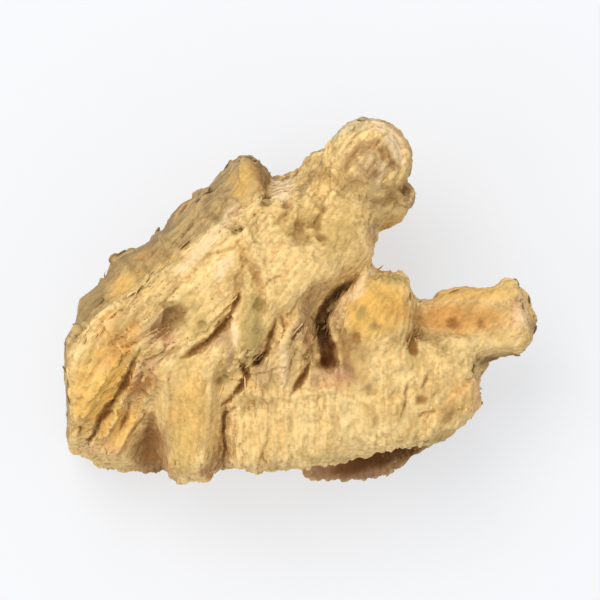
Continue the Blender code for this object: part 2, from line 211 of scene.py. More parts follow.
def withModifiers(mesh, settings):  # the mesh that a list of modifiers makes of this one
    holder = bpy.data.objects.new("holder", mesh)
    bpy.context.scene.collection.objects.link(holder)
    for kind, values in settings:
        modifier = holder.modifiers.new(kind.title(), kind)
        for name, value in values.items():
            setattr(modifier, name, value)
    result = bpy.data.meshes.new_from_object(holder.evaluated_get(bpy.context.evaluated_depsgraph_get()))
    bpy.data.objects.remove(holder, do_unlink=True)
    return result


# From points in plan to a bent line: the distance, the share passed, the distance with its side, and the
# line's own half width, where it has one
def pathReach(plan, path):
    path = np.array(path)
    spans = np.linalg.norm(np.diff(path[:, :2], axis=0), axis=1)
    passed = np.concatenate([[0.0], np.cumsum(spans)]) / spans.sum()
    nearest = np.full(len(plan), np.inf)
    share = np.zeros(len(plan))
    side = np.zeros(len(plan))
    for index in range(len(path) - 1):
        run = path[index + 1, :2] - path[index, :2]
        place = plan - path[index, :2]
        step = np.clip((place @ run) / (run @ run), 0.0, 1.0)
        away = np.linalg.norm(place - step[:, None] * run, axis=1)
        closer = away < nearest
        nearest[closer] = away[closer]
        share[closer] = (passed[index] + step * (passed[index + 1] - passed[index]))[closer]
        side[closer] = np.sign(run[0] * place[:, 1] - run[1] * place[:, 0])[closer]
    width = np.interp(share, passed, path[:, 2]) if path.shape[1] > 2 else None
    return nearest, share, nearest * side, width


# Where the fibres run: each guide holds round its place, by its angle in plan and its rise.
# A sheet guide's strands fall over the edge and run down the face below it. Without a rise it is level.
grainGuides = {
    "stem": dict(at=(-3.0, 1.6), reach=2.4, turn=stemTurn),
    "leftEnd": dict(at=(-5.2, -2.6), reach=1.3, turn=58),
    "leftShoulder": dict(at=(-3.6, -0.9), reach=1.1, turn=38),
    "tongue": dict(at=(-1.2, -0.8), reach=1.0, turn=63),
    "frontPillar": dict(at=(-3.0, -3.4), reach=1.1, turn=86, sheet=True),
    "frontBand": dict(at=(0.6, -3.2), reach=1.8, turn=90, sheet=True),
    "bandRight": dict(at=(3.6, -2.7), reach=1.2, turn=48, sheet=True),
    "saddle": dict(at=(0.1, 1.2), reach=1.3, turn=60),
    "neck": dict(at=(1.5, 3.2), reach=1.3, turn=63, rise=60),
    "middleLump": dict(at=(2.0, -0.4), reach=0.9, turn=72),
    "rightStump": dict(at=(4.8, -0.7), reach=1.5, turn=15, rise=12),
}

# How the guides' shares fall off, and from which share on one counts
guideBlend = dict(fall=2.5, sharp=2.6, least=0.03)


def guideShares(points):
    pulls = []
    for guide in grainGuides.values():
        away = planAway(points, guide["at"]) / guide["reach"]
        pulls.append(np.exp(-guideBlend["fall"] * away ** 2) + 1e-9)
    pulls = np.array(pulls) ** guideBlend["sharp"]
    return pulls / pulls.sum(axis=0)


def guideWay(guide):
    turn, rise = math.radians(guide["turn"]), math.radians(guide.get("rise", 0))
    return np.array([math.cos(turn) * math.cos(rise), math.sin(turn) * math.cos(rise), math.sin(rise)])


def inGrain(points, guide):  # places along the strands, across them, and through them
    along = guideWay(guide)
    turn = math.radians(guide["turn"])
    across = np.array([-math.sin(turn), math.cos(turn), 0.0])
    return points @ np.array([along, across, np.cross(along, across)]).T


def grainPattern(points, shares, pattern, long, wide):  # one pattern, laid along every guide
    total = np.zeros(len(points))
    for guide, share in zip(grainGuides.values(), shares):
        near = share > guideBlend["least"]
        size = (long, wide, long if guide.get("sheet") else wide)
        total[near] += share[near] * pattern(inGrain(points[near], guide), size)
    return total


# Where a field starts and where it is full
fades = {
    # by how far a face looks up: 1 up, 0 to the side, -1 down
    "upper": (-0.1, 0.25),
    "lit": (-0.05, 0.35),
    "darknessSlope": (-0.3, 0.0),
    "tornSlope": (-0.2, 0.1),
    "deepSlope": (-0.45, -0.05),
    "lowSlope": (-0.10, 0.50),
    "fraySlope": (0.0, 0.4),
    "hangSlope": (0.5, 0.2),
    "steepBark": (0.45, 0.0),
    "nestSlope": (-0.1, 0.3),
    "ledgeSlope": (0.05, 0.35),
    # by the height over the ground, in mm
    "ground": (0.02, 0.25),
    "formHeight": (1.0, 2.0),
    "crackHeight": (1.2, 2.0),
    "tornHeight": (1.5, 2.5),
    "pitHeight": (1.8, 2.4),
    "nudgeHeight": (0.1, 0.9),
    "dryingHeight": (0.1, 0.4),
    "strewHeight": (0.15, 0.6),
    # by the depth of a dip in the skin, in mm
    "cavity": (0.012, 0.075),
    "worn": (0.010, 0.05),
    "crumby": (0.015, 0.06),
    # by the share of a shape's own size
    "scarHollow": (0.75, 0.0),
    "scarRay": (0.85, 0.5),
    "granule": (0.75, 0.15),
    "bundle": (0.6, 0.1),
    "tintRim": (1.25, 0.45),
    "lineRim": (1.1, 0.35),
    "crackDarkness": (0.05, 0.55),
    "pitInk": (0.0, 0.65),
    # by the distance from a line, from the box or from the upper stump's axis, in mm
    "tornEdge": (-0.05, 0.05),
    "tornAway": (0.45, 0.20),
    "tornNear": (0.05, 0.15),
    "room": (0.04, 0.16),
    "offStump": (2.0, 1.6),
    # by a noise field
    "warts": (0.15, 0.60),
    "ringLines": (-0.2, 0.3),
    "patches": (0.10, 0.45),
    "scales": (0.0, 0.4),
}


def faded(value, name):
    return fadeAt(value, *fades[name])


# The skin: the solid's own shape with its facets smoothed, and the fine relief pressed in

skin = {
    "netSize": 0.054,         # mm between points while the relief is pressed in
    "smoothing": 12,          # passes over the solid's facets
    "triangles": 197000,      # kept at the end
    "splinters": (3.0, 0.30, 0.10),      # length, width and step of the split wood's splinters
    "fineSplinters": (1.8, 0.13, 0.045),
    "hairs": (2.2, 0.09, 0.016),
    "calmSplinters": (0.15, 0.85),       # how much of them stays everywhere, and how much on rough wood only
    "ledges": (0.80, 0.10),   # spacing and height of the broken steps
    "ledgeWaver": (1.1, 3.5, 1.0),       # amount, length and width
    "wrinkles": (2.4, 0.55, 0.024),      # along the bark
    "rings": (1.45, 0.11, 0.08),         # the bark's growth rings: spacing, half width and height
    "ringWaver": (0.45, 0.12),           # broad and fine, in mm
    "gapCrease": (0.45, 0.14),           # between splinters: depth as a share of the step, and width
    "ringLines": (0.17, 0.008, 0.12),    # fine lines beside them: spacing, height and waver
    "warts": (0.42, 0.020),
    "bundles": (0.26, 0.070),            # ends of fibre bundles on the front band
    "bandCalm": 0.7,                     # how far the front band is spared the fine splinters
    "grain": (0.080, 0.007),
}

# Where bark lies, in mm: on the stem from a slanting edge on, on the steep sides behind it and at the
# right, and on the stumps' sides from part of their length on, as far as their radius and a little more
barkEdge = {
    "across": 2.94, "lean": -0.13, "waver": 0.10, "width": 0.12,
    "behind": (1.2, 2.0), "behindSlope": (0.35, 0.05),
    "right": (2.4, 3.2), "rightSlope": (0.25, -0.05),
    "stumpEnd": (0.75, 0.45), "stumpAway": (0.9, 0.3), "stumpShare": (0.42, 0.62),
}

# The stumps' axes, radii at the tip, and how far bark covers their sides
stumps = {
    "upper": dict(start=(1.13, 2.3, 2.6), end=(2.03, 4.04, 6.8), radius=1.14, bark=0.45),
    "right": dict(start=(2.53, -1.02, 3.0), end=(6.23, -0.45, 4.1), radius=1.04, bark=0.35),
}

# Places in plan where the wood is smoother than elsewhere
calmPlaces = {
    "plateau": dict(at=(-2.5, 0.8), reach=1.5, calm=0.85),
    "plateauLow": dict(at=(-2.7, -0.3), reach=0.9, calm=0.65),
    "vMiddle": dict(at=(-1.4, 0.8), reach=1.1, calm=0.85),
    "tongue": dict(at=(-1.4, -0.6), reach=1.0, calm=0.8),
    "saddle": dict(at=(0.0, 0.95), reach=1.7, calm=0.9),
    "saddleTop": dict(at=(1.1, 1.7), reach=1.3, calm=0.85),
    "middleLump": dict(at=(2.1, -0.3), reach=1.3, calm=0.85),
    "lumpFoot": dict(at=(2.0, -1.7), reach=1.3, calm=0.95),
    "frontBand": dict(at=(0.9, -3.2), reach=2.5, calm=0.9),
    "bandRight": dict(at=(3.4, -2.4), reach=1.7, calm=0.85),
    "frontPillar": dict(at=(-2.9, -3.0), reach=1.6, calm=0.9),
    "pillarTop": dict(at=(-2.8, -1.9), reach=1.0, calm=0.95),
    "leftEnd": dict(at=(-5.4, -2.2), reach=1.4, calm=0.5),
    "hollow": dict(at=(-4.2, -3.9), reach=1.0, calm=0.85),
    "rightStump": dict(at=(4.6, -0.5), reach=1.9, calm=0.8),
}
calming = dict(passes=170, bark=0.75, height=(0.3, 1.6))  # pull on bark, and the height where it sets in
calmCore = 0.5  # share of a calm place's reach in which it holds in full

# Valleys of the solid that are bridged by a tight skin, since the wood runs on over them
bridges = {
    "lumpFoot": dict(reach=0.42, path=((1.1, -1.1), (1.6, -1.62), (2.25, -1.66), (2.75, -1.25))),
    "pillarTop": dict(reach=0.4, path=((-3.3, -1.75), (-2.75, -1.9), (-2.2, -1.85))),
}

# Places in plan where the solid's outline is drawn a little to one side, in mm, up to which height, and how
# softly it ends there
nudges = {
    "peak": dict(at=(-1.3, 3.6), reach=0.9, shift=(0.05, 0.26), below=9),
    "barkHigh": dict(at=(-2.75, 3.1), reach=0.7, shift=(0.08, -0.14), below=9),
    "barkUpper": dict(at=(-3.4, 2.45), reach=0.6, shift=(-0.1, 0.1), below=9),
    "barkMiddle": dict(at=(-4.45, 1.2), reach=1.0, shift=(-0.12, 0.14), below=9),
    "barkLow": dict(at=(-5.45, 0.25), reach=1.1, shift=(-0.18, 0.16), below=9),
    "knob": dict(at=(2.3, 3.6), reach=2.0, shift=(0.12, 0.2), below=9),
    "lip": dict(at=(3.1, 3.15), reach=0.9, shift=(-0.2, -0.52), below=6.4),
    "lipUnder": dict(at=(2.6, 2.5), reach=0.85, shift=(0.34, -0.08), below=5.2),
    "notchCorner": dict(at=(2.28, 1.08), reach=0.5, shift=(-0.16, -0.12), below=5.6),
    "neckSide": dict(at=(2.45, 1.65), reach=0.8, shift=(-0.34, 0.0), below=5.2),
    "stumpTip": dict(at=(6.2, 0.3), reach=1.0, shift=(-0.2, -0.12), below=9),
    "stumpTop": dict(at=(5.0, 0.45), reach=0.9, shift=(0.0, -0.14), below=9),
    "stumpRoot": dict(at=(3.4, 0.4), reach=0.6, shift=(0.0, -0.34), below=9),
    "hollowFoot": dict(at=(-4.1, -4.2), reach=0.7, shift=(0.0, -0.3), below=4.2, soft=2.2),
    "ledge": dict(at=(3.05, -4.6), reach=0.9, shift=(-0.16, 0.22), below=2.6),
}
nudgeCore = 0.2  # share of a nudge's reach in which it holds in full

# Ridges and grooves that the photograph shows: a height, and a line in plan with its half widths
forms = {
    "leftArm": (0.2, ((-1.72, 2.42, 0.15), (-2.35, 1.66, 0.2), (-3.02, 0.99, 0.2), (-3.69, 0.32, 0.22),
        (-4.4, -0.1, 0.2))),
    "leftArmFoot": (-0.11, ((-1.85, 1.6, 0.18), (-2.35, 0.89, 0.24), (-2.92, 0.22, 0.24))),
    "plateauRidge": (0.08, ((-2.3, 1.3, 0.16), (-2.05, 0.8, 0.2), (-2.05, 0.2, 0.18))),
    "rightArm": (0.15, ((-1.53, 2.05, 0.14), (-1.1, 1.09, 0.18), (-0.85, 0.32, 0.18), (-0.78, -0.3, 0.12))),
    "vCrease": (-0.15, ((-1.74, 2.1, 0.12), (-1.62, 1.7, 0.16), (-1.48, 1.15, 0.1))),
    "tongueSideRight": (-0.12, ((-1.38, 1.05, 0.07), (-1.12, 0.62, 0.11), (-0.99, 0.2, 0.11),
        (-0.92, -0.3, 0.08))),
    "tongueSideLeft": (-0.12, ((-1.46, 1.05, 0.07), (-1.64, 0.62, 0.11), (-1.66, 0.25, 0.1))),
    "tongueRidge": (0.18, ((-1.38, 0.7, 0.11), (-1.34, 0.0, 0.2), (-1.3, -0.8, 0.24), (-1.28, -1.4, 0.18))),
    "tongueBank": (0.1, ((-1.72, -0.35, 0.09), (-1.74, -0.95, 0.12), (-1.62, -1.4, 0.09))),
    "flakePale": (0.16, ((-0.45, -0.75, 0.14), (-0.42, -1.5, 0.17), (-0.5, -2.25, 0.12))),
    "flakeRose": (0.16, ((0.34, -0.98, 0.09), (0.18, -1.18, 0.12), (-0.08, -1.8, 0.12))),
    "saddleSide": (-0.16, ((-0.42, -0.58, 0.12), (-0.05, -0.26, 0.16), (0.34, 0.14, 0.16),
        (0.62, 0.42, 0.1))),
    "saddleLip": (0.09, ((-0.55, -0.12, 0.12), (-0.1, 0.2, 0.15), (0.28, 0.56, 0.15), (0.95, 0.74, 0.12))),
    "cleftRim": (0.18, ((1.78, 0.68, 0.07), (1.34, 0.16, 0.09), (1.04, -0.45, 0.09), (1.0, -1.03, 0.08))),
    "fissureBank": (0.12, ((-3.15, -1.15, 0.12), (-2.5, -0.65, 0.15), (-2.02, -0.15, 0.11))),
    "goldRidge": (0.14, ((-5.91, -1.51, 0.16), (-5.33, -0.7, 0.2), (-4.75, -0.15, 0.16))),
    "goldGroove": (-0.08, ((-5.71, -2.18, 0.08), (-4.98, -1.22, 0.11), (-4.37, -0.66, 0.07))),
    "endRidgeLeft": (0.14, ((-5.95, -3.15, 0.11), (-5.3, -2.09, 0.14), (-4.72, -1.36, 0.11))),
    "endRidgeMiddle": (0.18, ((-5.36, -3.7, 0.07), (-4.72, -2.57, 0.1), (-4.18, -1.7, 0.08))),
    "endFibre": (0.14, ((-4.98, -2.98, 0.07), (-5.22, -3.4, 0.09), (-5.42, -3.8, 0.08))),
    "endRidgeRight": (0.12, ((-4.96, -4.1, 0.08), (-4.3, -3.0, 0.11), (-3.9, -2.3, 0.08))),
    "endHollow": (-0.16, ((-4.05, -3.3, 0.1), (-4.08, -4.01, 0.28), (-4.02, -4.9, 0.3))),
    "pillarLeft": (0.09, ((-3.6, -1.9, 0.14), (-3.48, -3.15, 0.18), (-3.38, -4.59, 0.14))),
    "pillarMiddle": (0.12, ((-2.73, -1.8, 0.24), (-2.73, -3.15, 0.3), (-2.64, -4.68, 0.22))),
    "seamValley": (-0.16, ((-2.11, -1.75, 0.13), (-2.01, -2.76, 0.22), (-2.06, -3.92, 0.22),
        (-2.15, -4.78, 0.18))),
    "bandStep": (0.14, ((-1.77, -2.42, 0.1), (-0.81, -2.55, 0.12), (0.06, -2.6, 0.12), (0.83, -2.38, 0.1))),
    "bandRidgeLeft": (0.08, ((-1.62, -2.57, 0.11), (-1.62, -4.2, 0.11))),
    "bandRidgeNext": (0.08, ((-0.9, -2.8, 0.1), (-0.9, -3.8, 0.1))),
    "bandRidgeMiddle": (0.08, ((-0.42, -2.8, 0.1), (-0.36, -4.3, 0.1))),
    "cleftFoot": (-0.22, ((0.73, -1.61, 0.24), (0.96, -2.05, 0.26))),
    "lumpShoulder": (0.12, ((1.25, -0.7, 0.2), (1.25, -1.2, 0.2))),
    "bandDiagonal": (0.09, ((1.5, -2.35, 0.14), (2.3, -1.9, 0.19), (2.95, -1.75, 0.12))),
    "bandDiagonalLow": (0.07, ((1.95, -2.75, 0.12), (2.6, -2.3, 0.16), (3.25, -2.1, 0.12))),
    "bandDip": (-0.07, ((2.1, -2.75, 0.12), (2.9, -2.45, 0.15), (3.6, -2.2, 0.11))),
    "bandRightGroove": (-0.08, ((3.33, -3.15, 0.09), (4.05, -2.62, 0.11), (4.58, -2.15, 0.08))),
    "bandRightRidge": (0.07, ((3.75, -3.1, 0.11), (4.5, -2.4, 0.12))),
    "lumpRim": (0.1, ((1.69, 0.3, 0.11), (2.3, 0.52, 0.14), (2.85, 0.22, 0.11))),
    "stumpDip": (-0.1, ((3.2, -0.45, 0.2), (4.2, -0.58, 0.3), (5.2, -0.55, 0.26))),
    "stumpRimLow": (0.12, ((3.6, -1.12, 0.15), (4.48, -1.16, 0.18), (5.6, -1.12, 0.16))),
    "neckNotch": (-0.22, ((-0.9, 2.8, 0.1), (-0.86, 3.15, 0.12))),
    "neckRidge": (0.1, ((0.63, 3.0, 0.16), (1.4, 2.2, 0.18))),
}

# Cracks that it shows: lines in plan with their half widths, the depth and how dark, partly the wood's brown
# and partly painted shade. Where the solid has a wide crack of its own, it is closed first as far as the
# notch reaches to either side.
cracks = {
    "deepCleft": dict(depth=0.64, darkness=0.95, notch=0.5, path=((1.54, 0.62, 0.05), (1.14, 0.3, 0.19),
        (0.82, 0.02, 0.17), (0.62, -0.28, 0.23), (0.5, -0.62, 0.21), (0.64, -0.98, 0.26),
        (0.75, -1.3, 0.3), (0.76, -1.64, 0.32))),
    "cleftFork": dict(depth=0.32, darkness=0.8, notch=0.34, path=((0.25, -1.64, 0.04), (0.12, -1.98, 0.13),
        (-0.06, -2.28, 0.13), (-0.26, -2.54, 0.03))),
    "forkDot": dict(depth=0.16, darkness=0.7, notch=0.0, path=((0.22, -1.34, 0.06), (0.17, -1.5, 0.1))),
    "leftFissure": dict(depth=0.4, darkness=0.85, notch=0.34, path=((-3.24, -1.58, 0.02),
        (-2.8, -1.34, 0.15), (-2.38, -1.06, 0.13), (-2.02, -0.68, 0.17), (-1.82, -0.34, 0.08),
        (-1.66, 0.04, 0.13), (-1.6, 0.22, 0.02))),
    "tongueFissure": dict(depth=0.38, darkness=0.8, notch=0.38, path=((-0.66, -0.5, 0.04),
        (-0.73, -0.9, 0.13), (-0.92, -1.36, 0.13), (-1.14, -1.64, 0.17), (-1.3, -1.74, 0.04))),
    "tongueTip": dict(depth=0.32, darkness=0.8, notch=0.34, path=((-1.64, -1.62, 0.02), (-1.48, -1.8, 0.14),
        (-1.4, -2.08, 0.12), (-1.62, -2.4, 0.12), (-1.98, -2.74, 0.08), (-2.12, -2.86, 0.02))),
    "seam": dict(depth=0.14, darkness=0.8, notch=0.42, path=((-1.94, -2.6, 0.02), (-2.04, -3.1, 0.06),
        (-2.02, -4.0, 0.07), (-2.12, -4.85, 0.03))),
    "endCrack": dict(depth=0.38, darkness=0.85, notch=0.36, path=((-4.18, -1.16, 0.02), (-4.42, -1.66, 0.08),
        (-4.68, -2.22, 0.16), (-4.9, -2.52, 0.09), (-5.13, -2.82, 0.14), (-5.34, -3.16, 0.14),
        (-5.66, -3.76, 0.06), (-5.8, -4.0, 0.02))),
    "endCrackSide": dict(depth=0.14, darkness=0.5, notch=0.0, path=((-4.56, -2.96, 0.02),
        (-4.76, -3.28, 0.11), (-4.92, -3.62, 0.03))),
    "lumpNotch": dict(depth=0.2, darkness=0.9, notch=0.3, path=((3.22, -0.72, 0.04), (2.97, -1.04, 0.2),
        (3.07, -1.38, 0.18), (3.12, -1.62, 0.03))),
    "flakeSide": dict(depth=0.14, darkness=0.6, notch=0.0, path=((0.1, -0.56, 0.02), (-0.08, -0.86, 0.07),
        (-0.26, -1.22, 0.02))),
}
crackShape = {
    "waver": 0.06, "waverSize": 0.30, "fineWaver": 0.035, "fineSize": 0.10, "bow": 0.8,
    "lip": 0.04, "lipWidth": 0.12, "lipAway": 0.3, "lipEnds": 3.0, "edgeEnds": 1.8,
}
notchFloor = dict(height=2.4, front=-4.75, passes=1500)  # what lies lower or further to the front stays open

# Thin raised edges: a torn sheet of wood that stands proud on one side of a line
tornEdges = {
    "vLeft": dict(height=0.1, reach=-0.45, path=((-4.6, -0.05), (-3.55, 0.75), (-2.6, 1.6), (-1.86, 2.36))),
    "cleftFlake": dict(height=0.2, reach=0.26, path=((1.86, 0.78), (1.52, 0.38), (1.2, -0.12),
        (1.06, -0.62))),
    "endFibre": dict(height=0.1, reach=-0.26, path=((-5.5, -4.1), (-5.1, -3.3), (-4.6, -2.5),
        (-4.2, -1.8))),
    "goldStep": dict(height=0.09, reach=-0.35, path=((-5.6, -0.75), (-4.95, -0.25), (-4.3, 0.3))),
}

# Fine drying cracks, scattered over all sides along the fibres
dryingCracks = {
    "seed": 11, "count": 120, "length": (0.5, 1.7), "width": (0.045, 0.075), "depth": (0.04, 0.11),
    "step": 0.05, "wander": 0.25, "bend": 0.35, "turn": 7.0, "taper": 0.6, "lowest": 0.4, "dark": 0.10,
}

# The end of the upper stump is rounded to a knob, with the spiral of a ring scar on it
knob = {
    "depth": 1.5, "reach": (1.8, 1.4),  # mm down the stump, and from its axis, that are rounded
    "fill": 0.24, "fillReach": (0.80, 0.45), "dropFrom": 0.30, "drop": 0.62,
    "middle": (1.98, 3.72, 6.75), "from": (1.1, 0.6), "face": (1.5, 1.1),
    "spacing": 0.30, "height": 0.025, "waver": 0.20, "spiral": (1.0, 0.7), "calm": 0.7,
}

# Where rootlets broke off: a place inside, the way out from there, and the radius
rootScars = {
    "backMiddle": ((-4.0, -0.3, 2.6), (-0.75, 1.0, -0.1), 0.62),
    "backUpper": ((-2.4, 1.5, 3.2), (-0.6, 1.0, 0.05), 0.58),
    "backLower": ((-4.4, -1.5, 1.9), (-0.8, 1.0, -0.15), 0.52),
    "peak": ((-1.4, 2.0, 2.2), (0.5, 1.0, -0.2), 0.5),
    "rightSide": ((2.8, -1.3, 1.9), (1.0, 0.25, -0.2), 0.6),
    "front": ((-3.0, -2.5, 1.8), (0.05, -1.0, -0.1), 0.5),
}
scarShape = dict(rim=0.06, rimWidth=0.22, hollow=0.11, rays=7, ray=0.02, ragged=0.35, deep=0.8)

# Small pits: place in plan, radius, depth, colour and how far that covers
pitShape = dict(waver=0.11, size=0.28, rim=1.35, reach=2.5)
pits = {
    "nestUpper": ((-0.35, 2.5), 0.17, 0.08, "hazel", 0.5),
    "nestLeft": ((-0.48, 2.14), 0.2, 0.07, "hazel", 0.45),
    "nestMiddle": ((0.42, 2.06), 0.24, 0.13, "hazel", 0.8),
    "nestInner": ((0.06, 2.04), 0.17, 0.07, "hazel", 0.5),
    "nestLow": ((-0.08, 1.8), 0.3, 0.11, "hazel", 0.75),
    "nestLowRight": ((0.22, 1.6), 0.18, 0.07, "hazel", 0.55),
    "nestFoot": ((0.6, 1.66), 0.2, 0.1, "hazel", 0.8),
    "nestTop": ((0.58, 2.42), 0.18, 0.08, "hazel", 0.6),
    "peakNotch": ((-0.92, 2.62), 0.19, 0.12, "hazel", 0.9),
    "vSpot": ((-1.7, 1.88), 0.2, 0.09, "olive", 0.65),
    "borderSpot": ((-2.24, 2.22), 0.22, 0.08, "olive", 0.65),
    "plateauDimple": ((-2.6, -0.66), 0.17, 0.1, "olive", 0.7),
    "plateauDimpleHigh": ((-2.8, -0.22), 0.16, 0.06, "olive", 0.45),
    "pitHigh": ((-3.34, -0.42), 0.36, 0.1, "hazel", 0.8),
    "pitLow": ((-3.66, -0.8), 0.32, 0.1, "brown", 0.8),
    "lumpDot": ((1.6, -0.3), 0.2, 0.06, "olive", 0.55),
    "lumpDotLow": ((1.49, -1.04), 0.15, 0.08, "hazel", 0.85),
    "tongueMark": ((-1.13, -0.12), 0.22, 0.07, "olive", 0.85),
    "lumpDotRight": ((2.02, -0.7), 0.17, 0.06, "olive", 0.5),
    "stumpDot": ((4.15, -0.6), 0.24, 0.09, "brown", 0.75),
    "stumpDotRight": ((4.88, -0.66), 0.15, 0.06, "brown", 0.65),
    "stumpDimple": ((3.82, -1.3), 0.17, 0.06, "olive", 0.5),
    "bandPit": ((3.27, -2.68), 0.16, 0.12, "hazel", 0.9),
    "bandDot": ((1.88, -2.44), 0.2, 0.07, "olive", 0.45),
    "bandDotLow": ((1.74, -2.86), 0.18, 0.06, "olive", 0.35),
    "seamTop": ((-2.04, -2.1), 0.24, 0.1, "olive", 0.7),
    "knobSpot": ((2.0, 3.38), 0.1, 0.05, "brown", 0.6),
}

# A nest of small granules beside the neck
granules = dict(at=(0.16, 2.18), reach=0.9, core=0.6, size=0.26, height=0.10)


def mergedCopy(nodeName):  # a CAD node's mesh, its loose triangles merged, in millimetres
    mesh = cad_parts[nodeName].data.copy()
    form = bmesh.new()
    form.from_mesh(mesh)
    bmesh.ops.remove_doubles(form, verts=form.verts, dist=1e-7)
    form.to_mesh(mesh)
    form.free()
    points = readPoints(mesh)[0]
    writePoints(mesh, points / mm)
    return mesh


def stumpPlace(points, stump):  # mm along a stump's axis and away from it, then the axis and its length
    start = np.array(stump["start"])
    axis = np.array(stump["end"]) - start
    length = np.linalg.norm(axis)
    axis = axis / length
    along = (points - start) @ axis
    away = np.linalg.norm(points - start - np.outer(along, axis), axis=1)
    return along, away, axis, length


def stemBark(points):  # 1 on the stem's own bark
    along, across = alongAndAcross(points)
    edge = barkEdge["across"] + barkEdge["lean"] * along + barkEdge["waver"] * noiseAt(points, 0.5, 40.0)
    return fadeAt(across, edge, edge + barkEdge["width"])


def barkShare(points, normals):
    across = alongAndAcross(points)[1]
    share = stemBark(points)
    behind = fadeAt(across, *barkEdge["behind"]) * fadeAt(normals[:, 2], *barkEdge["behindSlope"])
    share = np.maximum(share, behind)
    far, near = barkEdge["stumpAway"]
    start, full = barkEdge["stumpShare"]
    for stump in stumps.values():
        reach, away, axis, length = stumpPlace(points, stump)
        onSide = fadeAt(normals @ axis, *barkEdge["stumpEnd"])
        onSide *= fadeAt(away, stump["radius"] + far, stump["radius"] + near)
        share = np.maximum(share, stump["bark"] * onSide * fadeAt(reach, start * length, full * length))
    lowSide = fadeAt(normals[:, 2], *barkEdge["rightSlope"]) * fadeAt(points[:, 0], *barkEdge["right"])
    return np.clip(np.maximum(share, lowSide), 0.0, 1.0)


def calmShare(points, normals):
    calm = np.zeros(len(points))
    for place in calmPlaces.values():
        away = planAway(points, place["at"])
        calm = np.maximum(calm, place["calm"] * fadeAt(away, place["reach"], calmCore * place["reach"]))
    return calm * faded(normals[:, 2], "lit")


def ringPhase(points):  # mm along the stem to the nearest growth ring
    spacing = skin["rings"][0]
    broad, fine = skin["ringWaver"]
    place = alongAndAcross(points)[0] + broad * noiseAt(points, 1.6, 3.1) + fine * noiseAt(points, 0.4, 5.3)
    place = place / spacing
    return (place - np.round(place)) * spacing


def splinterRelief(points, shares, size, shift):
    crease, width = skin["gapCrease"]

    def levels(places, scale):
        level, gap = splintersAt(places, scale, shift)
        return level - crease * fadeAt(gap, width, 0.0)
    return grainPattern(points, shares, levels, size[0], size[1]) * size[2]


def broadRelief(points, normals):  # splinters and steps on wood, and wrinkles, rings and warts on bark
    shares = guideShares(points)
    bark = barkShare(points, normals)
    wood = 1.0 - bark
    rough = wood * (1.0 - calmShare(points, normals))
    stays, goes = skin["calmSplinters"]
    splinters = splinterRelief(points, shares, skin["splinters"], 0.0) * (stays * wood + goes * rough)
    spacing, step = skin["ledges"]
    waver, long, wide = skin["ledgeWaver"]
    place = grainPattern(points, shares, lambda p, s: p[:, 1] / spacing + waver * noiseAt(p, s, 5.0),
                         long, wide)
    facing = faded(np.abs(normals[:, 2] - 0.25), "ledgeSlope")  # up, or to the side
    ledges = (place - np.floor(place) - 0.5) * step * rough * facing
    long, wide, height = skin["wrinkles"]
    wrinkles = grainPattern(points, shares, lambda p, s: strandsAt(p, s, 2, 17.0), long, wide) * height * bark
    spacing, wide, height = skin["rings"]
    rings = np.exp(-(ringPhase(points) / wide) ** 2) * height * bark * (0.8 + noiseAt(points, 1.0, 33.0))
    size, height = skin["warts"]
    warts = faded(noiseAt(points, size, 23.0), "warts") * height * bark
    return (splinters + ledges + wrinkles + rings + warts) * (1.0 - knob["calm"] * knobPlace(points)[2])


def formRelief(points, normals):
    plan = raggedPlan(points)
    facing = faded(normals[:, 2], "upper") * faded(points[:, 2], "formHeight")
    total = np.zeros(len(points))
    for height, path in forms.values():
        away, share, side, width = pathReach(plan, path)
        total += height * np.exp(-(away / width) ** 2)
    return total * facing


def neighbourPairs(mesh):
    pairs = np.empty(len(mesh.edges) * 2, np.int64)
    mesh.edges.foreach_get("vertices", pairs)
    return pairs.reshape(-1, 2)


def closeNotches(mesh):  # draws a tight skin over the solid's wide cracks, before they are cut again
    points = readPoints(mesh)[0]
    inside = np.zeros(len(points), bool)
    for crack in cracks.values():
        if crack["notch"]:
            inside |= pathReach(points[:, :2], crack["path"])[0] < crack["notch"]
    for bridge in bridges.values():
        inside |= pathReach(points[:, :2], bridge["path"])[0] < bridge["reach"]
    inside &= (points[:, 2] > notchFloor["height"]) & (points[:, 1] > notchFloor["front"])
    pairs = neighbourPairs(mesh)
    pairs = pairs[inside[pairs[:, 0]] | inside[pairs[:, 1]]]
    used = np.unique(pairs)
    order = np.zeros(len(points), np.int64)
    order[used] = np.arange(len(used))
    first, second = order[pairs[:, 0]], order[pairs[:, 1]]
    count = np.bincount(first, minlength=len(used)) + np.bincount(second, minlength=len(used))
    moving = inside[used]
    place = points[used]
    for turn in range(notchFloor["passes"]):
        for axis in range(3):
            values = place[:, axis]
            total = np.bincount(first, values[second], len(used))
            total += np.bincount(second, values[first], len(used))
            place[moving, axis] = (total / count)[moving]
    points[used] = place
    writePoints(mesh, points)


def evened(values, pull, pairs, passes):  # each point drawn towards its neighbours, as far as its pull says
    values = values.copy()
    count = np.bincount(pairs.ravel(), minlength=len(values))
    for turn in range(passes):
        for axis in range(3):
            own = values[:, axis]
            total = np.bincount(pairs[:, 0], own[pairs[:, 1]], len(own))
            total += np.bincount(pairs[:, 1], own[pairs[:, 0]], len(own))
            values[:, axis] += pull * (total / count - own)
    return values


def calmDown(mesh):  # evens out the solid's own ridges where the wood is smooth, and keeps its outline
    points, normals = readPoints(mesh)
    pull = calmShare(points, normals)
    pull = np.maximum(pull, calming["bark"] * stemBark(points))
    pull *= fadeAt(points[:, 2], *calming["height"])
    pull *= 1.0 - knobPlace(points)[2]
    pairs = neighbourPairs(mesh)
    smooth = evened(points, pull, pairs, calming["passes"])
    lost = evened(points - smooth, pull, pairs, calming["passes"])
    writePoints(mesh, smooth + lost)


